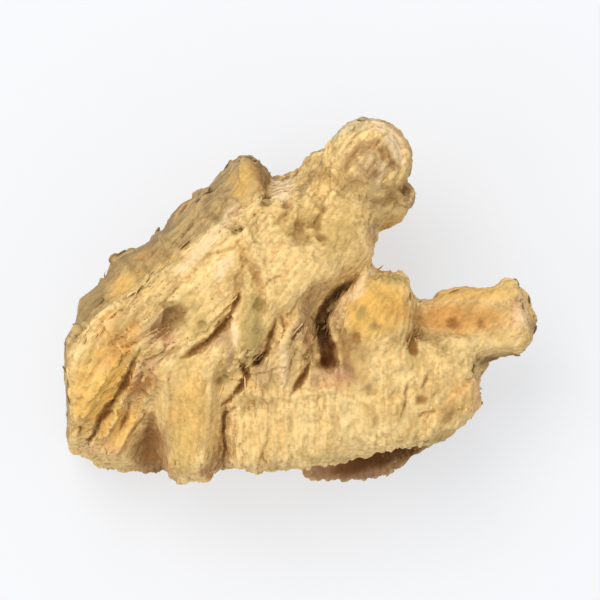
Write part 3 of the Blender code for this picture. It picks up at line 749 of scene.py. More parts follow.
def drawAside(mesh):
    points = readPoints(mesh)[0]
    height = points[:, 2]
    moved = np.zeros((len(points), 2))
    for nudge in nudges.values():
        away = planAway(points, nudge["at"])
        top = nudge["below"]
        share = faded(height, "nudgeHeight") * fadeAt(height, top, top - nudge.get("soft", 0.5))
        moved += np.outer(fadeAt(away, nudge["reach"], nudgeCore * nudge["reach"]) * share, nudge["shift"])
    points[:, :2] += moved
    writePoints(mesh, points)


def raggedPlan(points):  # places in plan, shaken so that every line wavers
    broad = waverAt(points, crackShape["waverSize"], (51.0, 57.0)) * crackShape["waver"]
    fine = waverAt(points, crackShape["fineSize"], (51.0, 57.0)) * crackShape["fineWaver"]
    return points[:, :2] + broad + fine


def crackProfile(plan, crack):  # 1 in the middle of a crack, 0 at its edges, with its taper
    away, share, side, width = pathReach(plan, crack["path"])
    widest = max(point[2] for point in crack["path"])
    return np.clip(1.0 - away / width, 0.0, 1.0), width / widest, side, share, width


def endsAt(share, steep):  # 0 at both ends of a line, 1 between
    return np.clip(steep * np.sin(math.pi * share), 0.0, 1.0)


def cutCracks(mesh):
    points, normals = readPoints(mesh)
    ragged = raggedPlan(points)
    facing = faded(normals[:, 2], "upper") * faded(points[:, 2], "crackHeight")
    drop = np.zeros(len(points))
    lip = np.zeros(len(points))
    lipWidth = crackShape["lipWidth"]
    for crack in cracks.values():
        profile, taper, side, share, width = crackProfile(ragged, crack)
        drop = np.maximum(drop, crack["depth"] * taper * profile ** crackShape["bow"])
        near = np.exp(-((side - width - crackShape["lipAway"] * lipWidth) / lipWidth) ** 2)
        lip = np.maximum(lip, near * taper * crackShape["lip"] * endsAt(share, crackShape["lipEnds"]))
    edge = np.zeros(len(points))
    for torn in tornEdges.values():
        away, share, side, width = pathReach(ragged, torn["path"])
        inside = side * math.copysign(1.0, torn["reach"])
        reach = abs(torn["reach"])
        profile = faded(inside, "tornEdge") * np.clip(1.0 - inside / reach, 0.0, 1.0) * (away < reach)
        edge = np.maximum(edge, torn["height"] * profile * endsAt(share, crackShape["edgeEnds"]))
    points[:, 2] += (lip + edge - drop) * facing
    writePoints(mesh, points)


def crawl(surface, start, heading, length, rng):  # a wandering line on the surface
    steps = max(2, int(length / dryingCracks["step"]))
    line = [start]
    place = start
    for step in range(steps):
        found, normal, index, away = surface.find_nearest(place + heading * dryingCracks["step"])
        heading = heading + Vector(rng.normal(0.0, dryingCracks["wander"], 3)) * dryingCracks["bend"]
        heading = (heading - normal * heading.dot(normal)).normalized()
        place = found
        line.append(place)
    return line


def openDryingCracks(mesh):
    rng = np.random.default_rng(dryingCracks["seed"])
    points, normals = readPoints(mesh)
    shares = guideShares(points)
    surface = surfaceOf(mesh)
    tree = KDTree(len(points))
    for index, place in enumerate(points.tolist()):
        tree.insert(place, index)
    tree.balance()
    drop = np.zeros(len(points))
    guides = list(grainGuides.values())
    for number in range(dryingCracks["count"]):
        start = rng.integers(len(points))
        if points[start, 2] < dryingCracks["lowest"]:
            continue
        guide = guides[int(np.argmax(shares[:, start]))]
        turn = math.radians(guide["turn"] + rng.normal(0.0, dryingCracks["turn"]))
        heading = Vector((math.cos(turn), math.sin(turn), 0.0))
        normal = Vector(normals[start])
        heading = (heading - normal * heading.dot(normal)).normalized()
        line = crawl(surface, Vector(points[start]), heading, rng.uniform(*dryingCracks["length"]), rng)
        width = rng.uniform(*dryingCracks["width"])
        depth = rng.uniform(*dryingCracks["depth"])
        for step, place in enumerate(line):
            taper = math.sin(math.pi * (step + 0.5) / len(line)) ** dryingCracks["taper"]
            for found, index, away in tree.find_range(place, width):
                drop[index] = max(drop[index], depth * taper * (1.0 - away / width))
    drop *= faded(points[:, 2], "dryingHeight")
    writePoints(mesh, points - normals * drop[:, None])
    setField(mesh, "fineCrack", np.clip(drop / dryingCracks["dark"], 0.0, 1.0))


def roundKnob(mesh):
    points = readPoints(mesh)[0]
    along, away, axis, length = stumpPlace(points, stumps["upper"])
    share = fadeAt(along, length - knob["depth"], length - 0.1) * fadeAt(away, *knob["reach"])
    slope = np.clip((away - knob["dropFrom"]) / (stumps["upper"]["radius"] - knob["dropFrom"]), 0.0, 1.15)
    dome = knob["fill"] * fadeAt(away, *knob["fillReach"]) - knob["drop"] * slope ** 2
    writePoints(mesh, points + np.outer(share * dome, axis))


def knobPlace(points):  # distance from the middle of the knob, the angle round it, and 1 on it
    along, away, axis, length = stumpPlace(points, stumps["upper"])
    place = points - np.array(knob["middle"])
    flat = place - np.outer(place @ axis, axis)
    start, full = knob["from"]
    onKnob = fadeAt(along, length - start, length - full) * fadeAt(away, *knob["face"])
    return np.linalg.norm(flat, axis=1), np.arctan2(flat[:, 1], flat[:, 0]), onKnob


def scarTips(mesh):  # where the rootlets' scars are on the skin
    surface = surfaceOf(mesh)
    tips = []
    for inside, looking, radius in rootScars.values():
        way = Vector(looking).normalized()
        hit = surface.ray_cast(Vector(inside), way)[0]
        tips.append((np.array(hit), np.array(way), radius))
    return tips


def scarPlace(points, tip):  # distance from a scar's axis as a share of its radius, and the angle round it
    middle, way, radius = tip
    place = points - middle
    depth = place @ way
    flat = place - np.outer(depth, way)
    upright = np.cross(way, (0.0, 0.0, 1.0))
    angle = np.arctan2(flat @ np.cross(upright, way), flat @ upright)
    share = np.where(np.abs(depth) < scarShape["deep"], np.linalg.norm(flat, axis=1) / radius, 9.0)
    near = share < 2.0
    share[near] *= 1.0 + scarShape["ragged"] * noiseAt(points[near], 0.32, 171.0)
    return share, angle


def pitShare(points, at, radius):  # 1 in the middle of a ragged pit, 0 from its rim on
    waver = waverAt(points, pitShape["size"], (151.0, 157.0))
    away = np.linalg.norm(points[:, :2] + pitShape["waver"] * waver - np.array(at), axis=1)
    return fadeAt(away, pitShape["rim"] * radius, 0.0)


def localRelief(points, normals):  # the knob's spiral, the granules, the rootlets' scars and the pits
    away, angle, onKnob = knobPlace(points)
    spiral = away / knob["spacing"] + angle / (2.0 * math.pi) + knob["waver"] * noiseAt(points, 0.4, 61.0)
    relief = np.cos(spiral * 2.0 * math.pi) * knob["height"] * fadeAt(away, *knob["spiral"]) * onKnob
    reach = granules["reach"]
    inNest = fadeAt(planAway(points, granules["at"]), reach, granules["core"] * reach)
    inNest *= faded(normals[:, 2], "nestSlope")
    near = np.flatnonzero(inNest > 0.01)
    middle = cellsAt(points[near], granules["size"], 3.7)[0]
    relief[near] += inNest[near] * granules["height"] * (faded(middle, "granule") - 0.5)
    for tip in scarPlaces:
        share, angle = scarPlace(points, tip)
        relief += scarShape["rim"] * np.exp(-((share - 1.0) / scarShape["rimWidth"]) ** 2)
        relief -= scarShape["hollow"] * faded(share, "scarHollow")
        relief += scarShape["ray"] * np.cos(angle * scarShape["rays"]) * faded(share, "scarRay")
    facing = faded(normals[:, 2], "upper") * faded(points[:, 2], "pitHeight")
    for at, radius, depth, colour, strength in pits.values():
        near = np.flatnonzero(planAway(points, at) < pitShape["reach"] * radius)
        relief[near] -= depth * pitShare(points[near], at, radius) * facing[near]
    return relief


def fineRelief(points, normals):
    shares = guideShares(points)
    bark = barkShare(points, normals)
    fine = splinterRelief(points, shares, skin["fineSplinters"], 13.0) * (1.0 - bark)
    long, wide, height = skin["hairs"]
    hairs = grainPattern(points, shares, lambda p, s: strandsAt(p, s, 2, 71.0), long, wide) * height
    spacing, height, waver = skin["ringLines"]
    along = alongAndAcross(points)[0] + waver * noiseAt(points, 0.8, 3.0)
    shown = faded(noiseAt(points, 0.7, 29.0), "ringLines")
    lines = np.cos(along / spacing * 2.0 * math.pi) * height * bark * shown
    band = shares[list(grainGuides).index("frontBand")] + shares[list(grainGuides).index("bandRight")]
    size, height = skin["bundles"]
    bundles = np.zeros(len(points))
    near = np.flatnonzero(band > 0.05)
    heads = faded(cellsAt(points[near] * (1.0, 0.6, 0.6), size, 7.7)[0], "bundle") - 0.4
    bundles[near] = band[near] * heads * height
    size, height = skin["grain"]
    fine = fine * (1.0 - skin["bandCalm"] * band)
    return fine + hairs + lines + bundles + noiseAt(points, size, 83.0) * height


def keepInBox(mesh):
    points = readPoints(mesh)[0]
    writePoints(mesh, np.clip(points, boxLow, boxHigh))


def shiftOut(mesh, relief):
    points, normals = readPoints(mesh)
    amount = relief(points, normals) * faded(points[:, 2], "ground")
    writePoints(mesh, points + normals * amount[:, None])


scarPlaces = []


def makeSkin():
    mesh = withModifiers(mergedCopy("rhizome_piece"), [
        ("REMESH", dict(mode="VOXEL", voxel_size=skin["netSize"])),
        ("SMOOTH", dict(factor=0.5, iterations=skin["smoothing"])),
    ])
    print("skin net:", len(mesh.polygons), "faces")
    closeNotches(mesh)
    calmDown(mesh)
    drawAside(mesh)
    roundKnob(mesh)
    scarPlaces.extend(scarTips(mesh))
    shiftOut(mesh, formRelief)
    shiftOut(mesh, broadRelief)
    shiftOut(mesh, localRelief)
    cutCracks(mesh)
    shiftOut(mesh, fineRelief)
    openDryingCracks(mesh)
    share = skin["triangles"] / (2 * len(mesh.polygons))
    mesh = withModifiers(mesh, [("DECIMATE", dict(decimate_type="COLLAPSE", ratio=share))])
    keepInBox(mesh)
    print("skin:", len(mesh.polygons), "faces")
    return mesh


# Colours, as on a screen under the studio light
woodColours = {
    "pale": rgb(240, 209, 144),
    "mid": rgb(222, 184, 116),
    "deep": rgb(196, 147, 78),
    "barkPale": rgb(197, 166, 110),
    "bark": rgb(178, 145, 90),
    "barkDeep": rgb(144, 116, 74),
    "barkSideShade": rgb(128, 105, 78),
    "brown": rgb(140, 88, 38),
    "crack": rgb(136, 86, 20),
    "gold": rgb(224, 176, 90),
    "goldPale": rgb(250, 198, 98),
    "orange": rgb(212, 152, 76),
    "olive": rgb(164, 142, 80),
    "oliveGold": rgb(198, 166, 96),
    "hazel": rgb(152, 114, 58),
    "mauve": rgb(154, 116, 90),
    "rose": rgb(212, 156, 116),
    "peach": rgb(248, 216, 172),
    "umber": rgb(90, 48, 12),
    # painted shade: the deep cleft's dark umber stands in for the shadow inside it
    "cleft": rgb(108, 56, 14),
    "rust": rgb(186, 126, 58),
    "greyPale": rgb(204, 190, 150),
}

# Stains and tints, with painted shade and painted light among them, that the photograph shows: place in plan,
# half sizes, turn, colour and strength
tints = {
    "goldEnd": ((-5.3, -1.9), (1.6, 0.75), 58, "gold", 0.75),
    "goldEndPale": ((-5.3, -2.6), (1.1, 0.42), 58, "goldPale", 0.8),
    "endRidge": ((-5.12, -3.3), (0.62, 0.18), 58, "goldPale", 0.8),
    "endPale": ((-4.75, -3.45), (0.9, 0.28), 60, "goldPale", 0.6),
    "leftShade": ((-4.6, -0.65), (0.66, 0.4), 45, "hazel", 0.45),
    "shoulderShade": ((-4.0, -1.45), (0.42, 0.26), 50, "hazel", 0.45),
    "shoulderRose": ((-3.5, -1.08), (0.34, 0.2), 40, "rose", 0.6),
    "borderShade": ((-4.05, 0.48), (0.52, 0.2), 45, "oliveGold", 0.5),
    "borderShadeHigh": ((-3.4, 1.02), (0.42, 0.18), 45, "oliveGold", 0.5),
    "plateauShade": ((-3.0, 0.08), (0.36, 0.24), 45, "oliveGold", 0.55),
    "bankShade": ((-2.08, -1.02), (0.38, 0.24), 60, "mauve", 0.5),
    "bankShadeLow": ((-3.0, -1.6), (0.4, 0.2), 30, "oliveGold", 0.6),
    "endShade": ((-4.45, -1.0), (0.4, 0.26), 50, "orange", 0.45),
    "goldEndLow": ((-5.75, -3.0), (0.8, 0.35), 62, "gold", 0.45),
    "orangeEnd": ((-4.85, -1.25), (0.7, 0.34), 50, "orange", 0.65),
    "orangeBark": ((-4.7, 0.4), (0.6, 0.26), 45, "gold", 0.7),
    "orangeBarkLow": ((-5.2, -0.65), (0.55, 0.3), 50, "orange", 0.45),
    "peak": ((-1.5, 3.25), (0.6, 0.34), 70, "gold", 0.65),
    "peakRight": ((-1.05, 3.25), (0.34, 0.18), 80, "orange", 0.65),
    # painted light: the notch between peak and neck is brightened against its shade
    "notchLight": ((-0.5, 3.05), (0.5, 0.34), 92, "peach", 0.95),
    "pitsAround": ((-3.65, -0.7), (0.75, 0.4), 40, "mauve", 0.4),
    "roseCorner": ((-5.4, -4.1), (0.75, 0.35), 10, "rose", 0.45),
    "roseFibre": ((-4.25, -2.1), (0.7, 0.3), 58, "rose", 0.45),
    "browned": ((-4.25, -2.3), (0.6, 0.3), 20, "rust", 0.75),
    "pillar": ((-3.0, -3.1), (1.5, 0.6), 84, "gold", 0.6),
    "redFoot": ((-2.43, -4.72), (0.34, 0.26), 0, "rose", 0.7),
    "tongue": ((-1.3, -0.75), (1.0, 0.3), 90, "olive", 0.75),
    "tongueHigh": ((-1.34, 0.4), (0.62, 0.28), 96, "oliveGold", 0.45),
    "tongueBank": ((-1.74, -0.9), (0.6, 0.12), 88, "peach", 0.6),
    "tongueRoot": ((-1.9, -1.5), (0.5, 0.13), 88, "mauve", 0.45),
    "tongueFoot": ((-0.98, -1.95), (0.34, 0.3), 60, "mauve", 0.45),
    "vPale": ((-2.05, 0.85), (0.45, 0.16), 60, "peach", 0.55),
    "flakesShade": ((0.05, -0.6), (0.6, 0.26), 60, "mauve", 0.6),
    "flakeRose": ((0.22, -1.12), (0.3, 0.15), 60, "rose", 0.65),
    "flakePale": ((-0.42, -1.7), (0.7, 0.2), 92, "peach", 0.6),
    "cleftSide": ((0.25, 0.05), (0.55, 0.2), 48, "mauve", 0.28),
    # painted shade on the wall to the right of the deep cleft
    "cleftRight": ((0.98, -0.55), (0.45, 0.2), 80, "mauve", 0.5),
    "cleftWall": ((1.14, -1.42), (0.62, 0.26), 92, "brown", 0.6),
    "cleftWallLow": ((1.16, -1.95), (0.4, 0.34), 90, "mauve", 0.7),
    "lumpFootShade": ((1.5, -1.55), (0.5, 0.66), 0, "hazel", 0.5),
    "lumpSide": ((1.35, -0.95), (0.46, 0.42), 0, "hazel", 0.45),
    "lumpLeft": ((1.5, -0.3), (0.3, 0.6), 10, "hazel", 0.4),
    "cleftFoot": ((0.95, -2.15), (0.66, 0.3), 0, "rose", 0.4),
    # painted shade on the top of the front band
    "bandTopShade": ((1.5, -2.25), (0.5, 0.36), 0, "hazel", 0.35),
    "forkRight": ((0.45, -2.0), (0.46, 0.22), 70, "mauve", 0.45),
    "middleLump": ((2.1, -0.25), (1.05, 0.85), 20, "gold", 0.95),
    "lumpRight": ((2.6, -0.3), (0.4, 0.35), 0, "orange", 0.4),
    "lumpBack": ((2.32, 0.58), (0.52, 0.18), 0, "olive", 0.75),
    # painted shade in the notch between the middle lump and the right stump
    "notch": ((3.2, -0.75), (0.4, 0.22), 100, "brown", 0.6),
    "notchRight": ((3.48, -1.02), (0.46, 0.26), 0, "hazel", 0.6),
    "notchLow": ((3.14, -1.62), (0.34, 0.34), 0, "oliveGold", 0.6),
    "lumpFleck": ((1.64, -0.36), (0.14, 0.22), 0, "olive", 0.6),
    "lumpFleckLow": ((2.02, -0.72), (0.2, 0.14), 0, "hazel", 0.4),
    "stumpUpper": ((4.7, 0.18), (1.3, 0.26), 4, "gold", 0.55),
    "stumpLower": ((5.0, -1.25), (1.0, 0.3), 4, "pale", 0.7),
    "stumpOrange": ((4.25, -0.5), (1.45, 0.42), 0, "orange", 0.8),
    "stumpTip": ((5.98, -0.35), (0.16, 0.45), 0, "peach", 0.7),
    "stumpTipRose": ((5.85, -0.3), (0.14, 0.55), 0, "rose", 0.35),
    "spur": ((6.35, -0.8), (0.26, 0.3), 0, "mauve", 0.75),
    # painted shadow under the right stump's lower edge
    "stumpUnderShadow": ((5.12, -1.66), (0.4, 0.16), 5, "umber", 0.7),
    "bandRight": ((4.3, -2.6), (0.7, 0.4), 60, "orange", 0.4),
    "bandPatch": ((3.9, -3.02), (0.36, 0.3), 70, "hazel", 0.65),
    "bandRightShade": ((3.5, -2.46), (0.5, 0.28), 40, "hazel", 0.45),
    "bandLowShade": ((2.65, -3.06), (0.55, 0.28), 20, "hazel", 0.32),
    # painted highlight on the front band
    "bandHighlight": ((1.4, -3.4), (0.7, 0.4), 90, "pale", 0.6),
    # painted light over the shadow under the right stump, at the band's end
    "bandEndLight": ((4.6, -2.0), (0.4, 0.3), 0, "pale", 0.6),
    # painted shade on the front pillar's left flank
    "pillarFlankShade": ((-3.52, -3.5), (0.55, 0.2), 88, "hazel", 0.5),
    # painted shade on the plateau's foot and on its side by the V
    "plateauFootShade": ((-2.75, -0.48), (0.55, 0.45), 45, "oliveGold", 0.4),
    "plateauSideShade": ((-2.5, 1.45), (0.34, 0.22), 45, "oliveGold", 0.4),
    "seamBright": ((-1.5, -3.05), (0.34, 0.28), 90, "pale", 0.65),
    "pillarShade": ((-3.12, -3.95), (0.95, 0.34), 88, "oliveGold", 0.5),
    "stumpEndShade": ((5.45, -1.0), (0.4, 0.26), 0, "oliveGold", 0.45),
    # painted light over the shaded wall of the notch between neck and lump
    "notchTopLight": ((2.2, 0.98), (0.46, 0.26), -20, "pale", 0.75),
    "vTop": ((-1.5, 2.5), (0.32, 0.26), 0, "pale", 0.7),
    "bandRim": ((4.8, -2.6), (0.8, 0.14), 78, "rose", 0.6),
    "bandFoot": ((3.75, -3.8), (0.45, 0.18), 30, "olive", 0.7),
    "bandCorner": ((-0.45, -4.58), (0.3, 0.12), 0, "olive", 0.45),
    "neck": ((0.75, 3.35), (0.7, 0.45), 50, "gold", 0.35),
    "neckLow": ((1.25, 2.55), (0.5, 0.45), 0, "oliveGold", 0.45),
    "nest": ((0.15, 2.05), (0.8, 0.62), 0, "oliveGold", 0.5),
    # partly the wood's olive-gold, partly painted shade on the saddle's upper slope
    "saddleHighToneAndShade": ((1.05, 1.75), (0.75, 0.48), 60, "oliveGold", 0.7),
    "neckLeft": ((0.95, 3.75), (0.4, 0.3), 60, "pale", 0.55),
    # painted light on the knob's lower slope, which faces away from the light
    "knobLowLight": ((1.75, 2.72), (0.6, 0.34), 0, "pale", 0.6),
    # painted shade on the neck's side away from the light
    "neckRightShade": ((1.95, 1.75), (0.45, 0.16), 80, "mauve", 0.55),
    "knobFace": ((1.95, 3.6), (0.52, 0.5), 0, "mauve", 0.4),
    # painted light on the lip under the knob, then painted shade on its lower right edge
    "knobLipLight": ((2.45, 2.35), (0.5, 0.34), 10, "pale", 0.7),
    "knobLipRightShade": ((2.98, 2.68), (0.24, 0.34), 0, "mauve", 0.65),
}

# The same along lines in plan, with their half widths
tintLines = {
    "armPale": ("peach", 0.6, ((-3.25, 0.72, 0.1), (-2.6, 1.38, 0.22), (-1.72, 2.42, 0.2))),
    "cleftFlake": ("peach", 0.6, ((1.92, 0.8, 0.1), (1.58, 0.34, 0.15), (1.2, -0.12, 0.12),
        (1.02, -0.4, 0.06))),
    # painted shade in the hollow at the left end
    "hollow": ("brown", 0.75, ((-4.02, -3.1, 0.1), (-3.98, -3.7, 0.42), (-3.98, -4.2, 0.66),
        (-3.98, -5.0, 0.82))),
    # painted shade, darker, deep in the hollow
    "hollowDeepShade": ("crack", 0.5, ((-4.1, -3.45, 0.1), (-4.05, -3.9, 0.28), (-3.92, -4.5, 0.44))),
    # painted shade along the groove of the seam
    "seam": ("brown", 0.55, ((-2.0, -2.8, 0.1), (-2.02, -3.6, 0.2), (-2.08, -4.2, 0.26),
        (-2.36, -4.66, 0.36))),
    # painted shade along the bark's outline
    "barkRimShade": ("barkDeep", 0.7, ((-6.32, -1.7, 0.08), (-6.22, -1.1, 0.2), (-5.55, 0.0, 0.24),
        (-5.0, 0.95, 0.22), (-4.5, 1.4, 0.2), (-3.8, 1.8, 0.22), (-3.35, 2.55, 0.22),
        (-2.85, 2.98, 0.2), (-2.2, 3.3, 0.18))),
    "barkRimMauve": ("mauve", 0.45, ((-4.0, 1.62, 0.14), (-3.6, 2.1, 0.24), (-3.35, 2.5, 0.14))),
    "barkBrown": ("brown", 0.3, ((-4.4, 1.15, 0.2), (-3.7, 1.3, 0.26), (-3.2, 1.15, 0.18))),
    "neckStripe": ("umber", 0.5, ((0.0, 2.84, 0.1), (0.18, 3.14, 0.15), (0.38, 3.46, 0.1))),
    "knobRing": ("brown", 0.65, ((1.22, 3.46, 0.1), (1.34, 3.82, 0.2), (1.62, 4.08, 0.22),
        (1.94, 4.2, 0.2), (2.18, 3.98, 0.19), (2.36, 3.7, 0.17), (2.56, 3.48, 0.12))),
    "knobCurl": ("peach", 0.6, ((2.22, 3.62, 0.05), (2.2, 3.34, 0.11), (2.04, 3.06, 0.1))),
    # painted highlight on the knob's upper right
    "knobHighlight": ("peach", 0.9, ((2.0, 4.66, 0.1), (2.4, 4.46, 0.2), (2.54, 4.08, 0.32), (2.68, 3.7, 0.16))),
    "knobTop": ("greyPale", 0.7, ((0.98, 4.36, 0.12), (1.3, 4.62, 0.2), (1.72, 4.8, 0.22),
        (2.15, 4.84, 0.14))),
    "knobOutline": ("mauve", 0.5, ((2.1, 4.92, 0.12), (2.66, 4.62, 0.18), (3.02, 4.05, 0.18),
        (3.06, 3.4, 0.16))),
    # painted shade in the groove between the knob and its lip
    "knobGrooveShade": ("hazel", 0.65, ((1.9, 2.62, 0.08), (2.22, 2.66, 0.16), (2.6, 2.8, 0.18),
        (2.92, 3.1, 0.16))),
    "bandShade": ("olive", 0.4, ((0.1, -4.26, 0.08), (0.8, -4.36, 0.12), (1.6, -4.2, 0.1))),
    # painted shade along the grooves on both sides of the tongue
    "tongueSideShade": ("brown", 0.38, ((-1.42, 1.06, 0.08), (-1.14, 0.66, 0.14), (-1.02, 0.2, 0.1))),
    "tongueSideShadeLeft": ("brown", 0.35, ((-1.46, 1.04, 0.07), (-1.64, 0.6, 0.12), (-1.66, 0.2, 0.08))),
}
# the hollow's and the seam's painted shade also covers faces that look down
deepLines = ("hollow", "hollowDeepShade", "seam")  # these reach down below the edge of the front band
lowTints = {  # the same, for what lies below the front band's edge
    # painted shadow on the ledge under the front band's edge
    "undercut": ((2.05, -4.42), (2.1, 0.6), 12, "brown", 0.8),
    "undercutDeep": ((2.1, -4.3), (1.7, 0.36), 16, "umber", 0.85),
    "ledgeRim": ((1.9, -4.98), (1.9, 0.3), 8, "mauve", 0.85),
    "ledgeLeft": ((0.45, -4.62), (0.5, 0.36), 0, "mauve", 0.8),
}
tintWaver = (0.35, 0.13)  # size and amount of the stains' ragged rims, in mm
lowTintTop = 2.9  # mm over the ground
lowTintFade = 0.4
lowTintSlope = (0.25, 0.75)  # on faces that look down, and added as they look up

# What scars, rings and steep sides add, each with its strength; beside each ring and on steep bark it is
# painted shade. Scars: where it starts and is full, as a share of the radius. Rings: place beside the ring
# and width, in mm.
scarTints = {
    "brown": (0.65, 1.0, 0.6),
    "umber": (0.80, 0.45, 0.15),
}
scarPale = (0.55, 0.62, 0.10)
ringTints = {
    # painted shade: a dark line beside each ring's ridge
    "barkDeep": (0.55, 0.17, 0.08),
    "barkPale": (0.25, 0.0, 0.11),
}
# how strong the painted shade on steep bark is
steepShade = 0.66


# The material: streaks along the stem and down the front (turn in degrees, sizes in mm), blotches (size in mm
# and detail), and how far the tones cover the wood
woodLook = {
    "hair": dict(turn=8, long=1.2, longDown=1.0, wide=0.10, detail=4.0),
    "veins": dict(turn=12, long=2.6, longDown=2.0, wide=0.14, detail=2.0),
    "speckle": (0.11, 4.0),
    "patch": (1.1, 3.0),
    "mottle": (0.42, 2.0),
    "mid": 0.55, "vein": 0.40, "veinCalm": 0.32, "barkPale": 0.65,
    "worn": 0.55, "wornHighlightBark": 0.35, "cavity": 0.70, "fineCrack": 0.6,
    "roughness": 0.72, "roughSpeckle": 0.22, "specular": 0.35, "bump": 0.55, "bumpHeight": 0.03,
}


def woodMaterial():
    look = woodLook
    material = bpy.data.materials.new("driedWood")
    material.use_nodes = True
    board = Board(material.node_tree)
    shader = material.node_tree.nodes["Principled BSDF"]
    place = board.node("ShaderNodeTexCoord", out="Object")

    def fibres(turn, long, wide, detail):  # a streaky field, its streaks at an angle in plan
        turned = board.node("ShaderNodeMapping", {"vector_type": "TEXTURE"}, {
            "Vector": place, "Rotation": (0.0, 0.0, math.radians(turn)),
            "Scale": (long * mm, wide * mm, wide * mm)})
        return board.node("ShaderNodeTexNoise", None, {"Vector": turned, "Scale": 1.0, "Detail": detail})

    def streaks(turn, long, longDown, wide, detail):  # along the stem, and down where the wood is a sheet
        along = fibres(stemTurn + turn, long, wide, detail)
        return along * (1 - sheet) + fibres(90, longDown, wide, detail) * sheet

    def blotches(size, detail):
        return board.node("ShaderNodeTexNoise", None, {
            "Vector": place, "Scale": 1 / (size * mm), "Detail": detail})

    sheet = board.field("sheet")
    hair = streaks(**look["hair"])
    speckle = blotches(*look["speckle"])
    patch = blotches(*look["patch"])
    streak = board.field("streak")
    bark = board.field("bark")
    tint = board.node("ShaderNodeAttribute", {"attribute_name": "tint"})
    tintShare = board.node("ShaderNodeAttribute", {"attribute_name": "tint"}, out="Alpha")

    calm = board.field("calm")
    lines = (streak * 0.6 + hair * 0.8) * (1 - calm * 0.45) + speckle * (0.4 + calm * 0.45)
    woody = board.fade(lines, 0.45 - calm * 0.20, 1.15)
    wood = board.blend(woody, woodColours["deep"], woodColours["pale"])
    wood = board.blend(board.fade(patch, 0.40, 0.62) * look["mid"], wood, woodColours["mid"])
    veins = board.fade(streaks(**look["veins"]), 0.58, 0.68) * (look["vein"] - calm * look["veinCalm"])
    wood = board.blend(veins, wood, woodColours["brown"])
    barky = board.fade(patch * 0.7 + speckle * 0.3 + streak * 0.3, 0.35, 0.85)
    skinTone = board.blend(barky, woodColours["barkDeep"], woodColours["bark"])
    light = board.fade(hair + streak * 0.4, 0.45, 0.95) * look["barkPale"]
    skinTone = board.blend(light, skinTone, woodColours["barkPale"])
    tone = board.blend(bark, wood, skinTone)
    # stains, painted shade and painted light, from the tint attribute
    tone = board.blend(tintShare * (board.fade(speckle + patch, 0.45, 0.95) * 0.75 + 0.25), tone, tint)
    mottle = blotches(*look["mottle"])
    grey = board.fade(hair + speckle, 0.75, 1.25) * 0.20 + board.fade(mottle, 0.36, 0.60) * 0.15 + 0.78
    shade = board.node("ShaderNodeCombineColor", None, {0: grey, 1: grey, 2: grey})
    tone = board.blend(1.0, tone, shade, "MULTIPLY")
    # convex edges paled: partly rubbed wear, partly a painted highlight
    worn = board.field("worn") * (look["worn"] - bark * look["wornHighlightBark"])
    tone = board.blend(worn, tone, woodColours["pale"])
    # painted shade in creases and dips, from the dip depth that the mesh carries
    tone = board.blend(board.field("cavity") * look["cavity"], tone, woodColours["brown"])
    tone = board.blend(board.field("fineCrack") * look["fineCrack"], tone, woodColours["brown"])
    # the deep cleft's painted shade is darker than the other cracks
    crackTone = board.blend(board.field("deepCrack"), woodColours["crack"], woodColours["cleft"])
    tone = board.blend(board.field("crack"), tone, crackTone)
    board.plug(shader.inputs["Base Color"], tone)
    board.plug(shader.inputs["Roughness"], look["roughness"] + look["roughSpeckle"] * speckle)
    shader.inputs["Specular IOR Level"].default_value = look["specular"]
    height = hair * (0.7 - calm * 0.35) + speckle * 0.5
    bump = board.node("ShaderNodeBump", None, {
        "Strength": look["bump"], "Distance": look["bumpHeight"] * mm, "Height": height}, "Normal")
    board.plug(shader.inputs["Normal"], bump)
    return material


def setField(mesh, name, values):
    field = mesh.attributes.new(name, "FLOAT", "POINT")
    field.data.foreach_set("value", np.asarray(values, dtype=np.float32))


def tintSpot(plan, at, size, turn):  # 1 in the middle of an oval, 0 outside
    return faded(ovalAway(plan, at, size, turn), "tintRim")


def partly(pair, field):  # the first value everywhere, and the second where the field is
    least, more = pair
    return least + more * field


def layOver(colour, cover, tintName, strength):
    target = np.array(woodColours[tintName][:3])
    share = strength / np.maximum(1.0 - (1.0 - cover) * (1.0 - strength), 1e-6)
    colour += (target - colour) * share[:, None]
    cover += (1.0 - cover) * strength


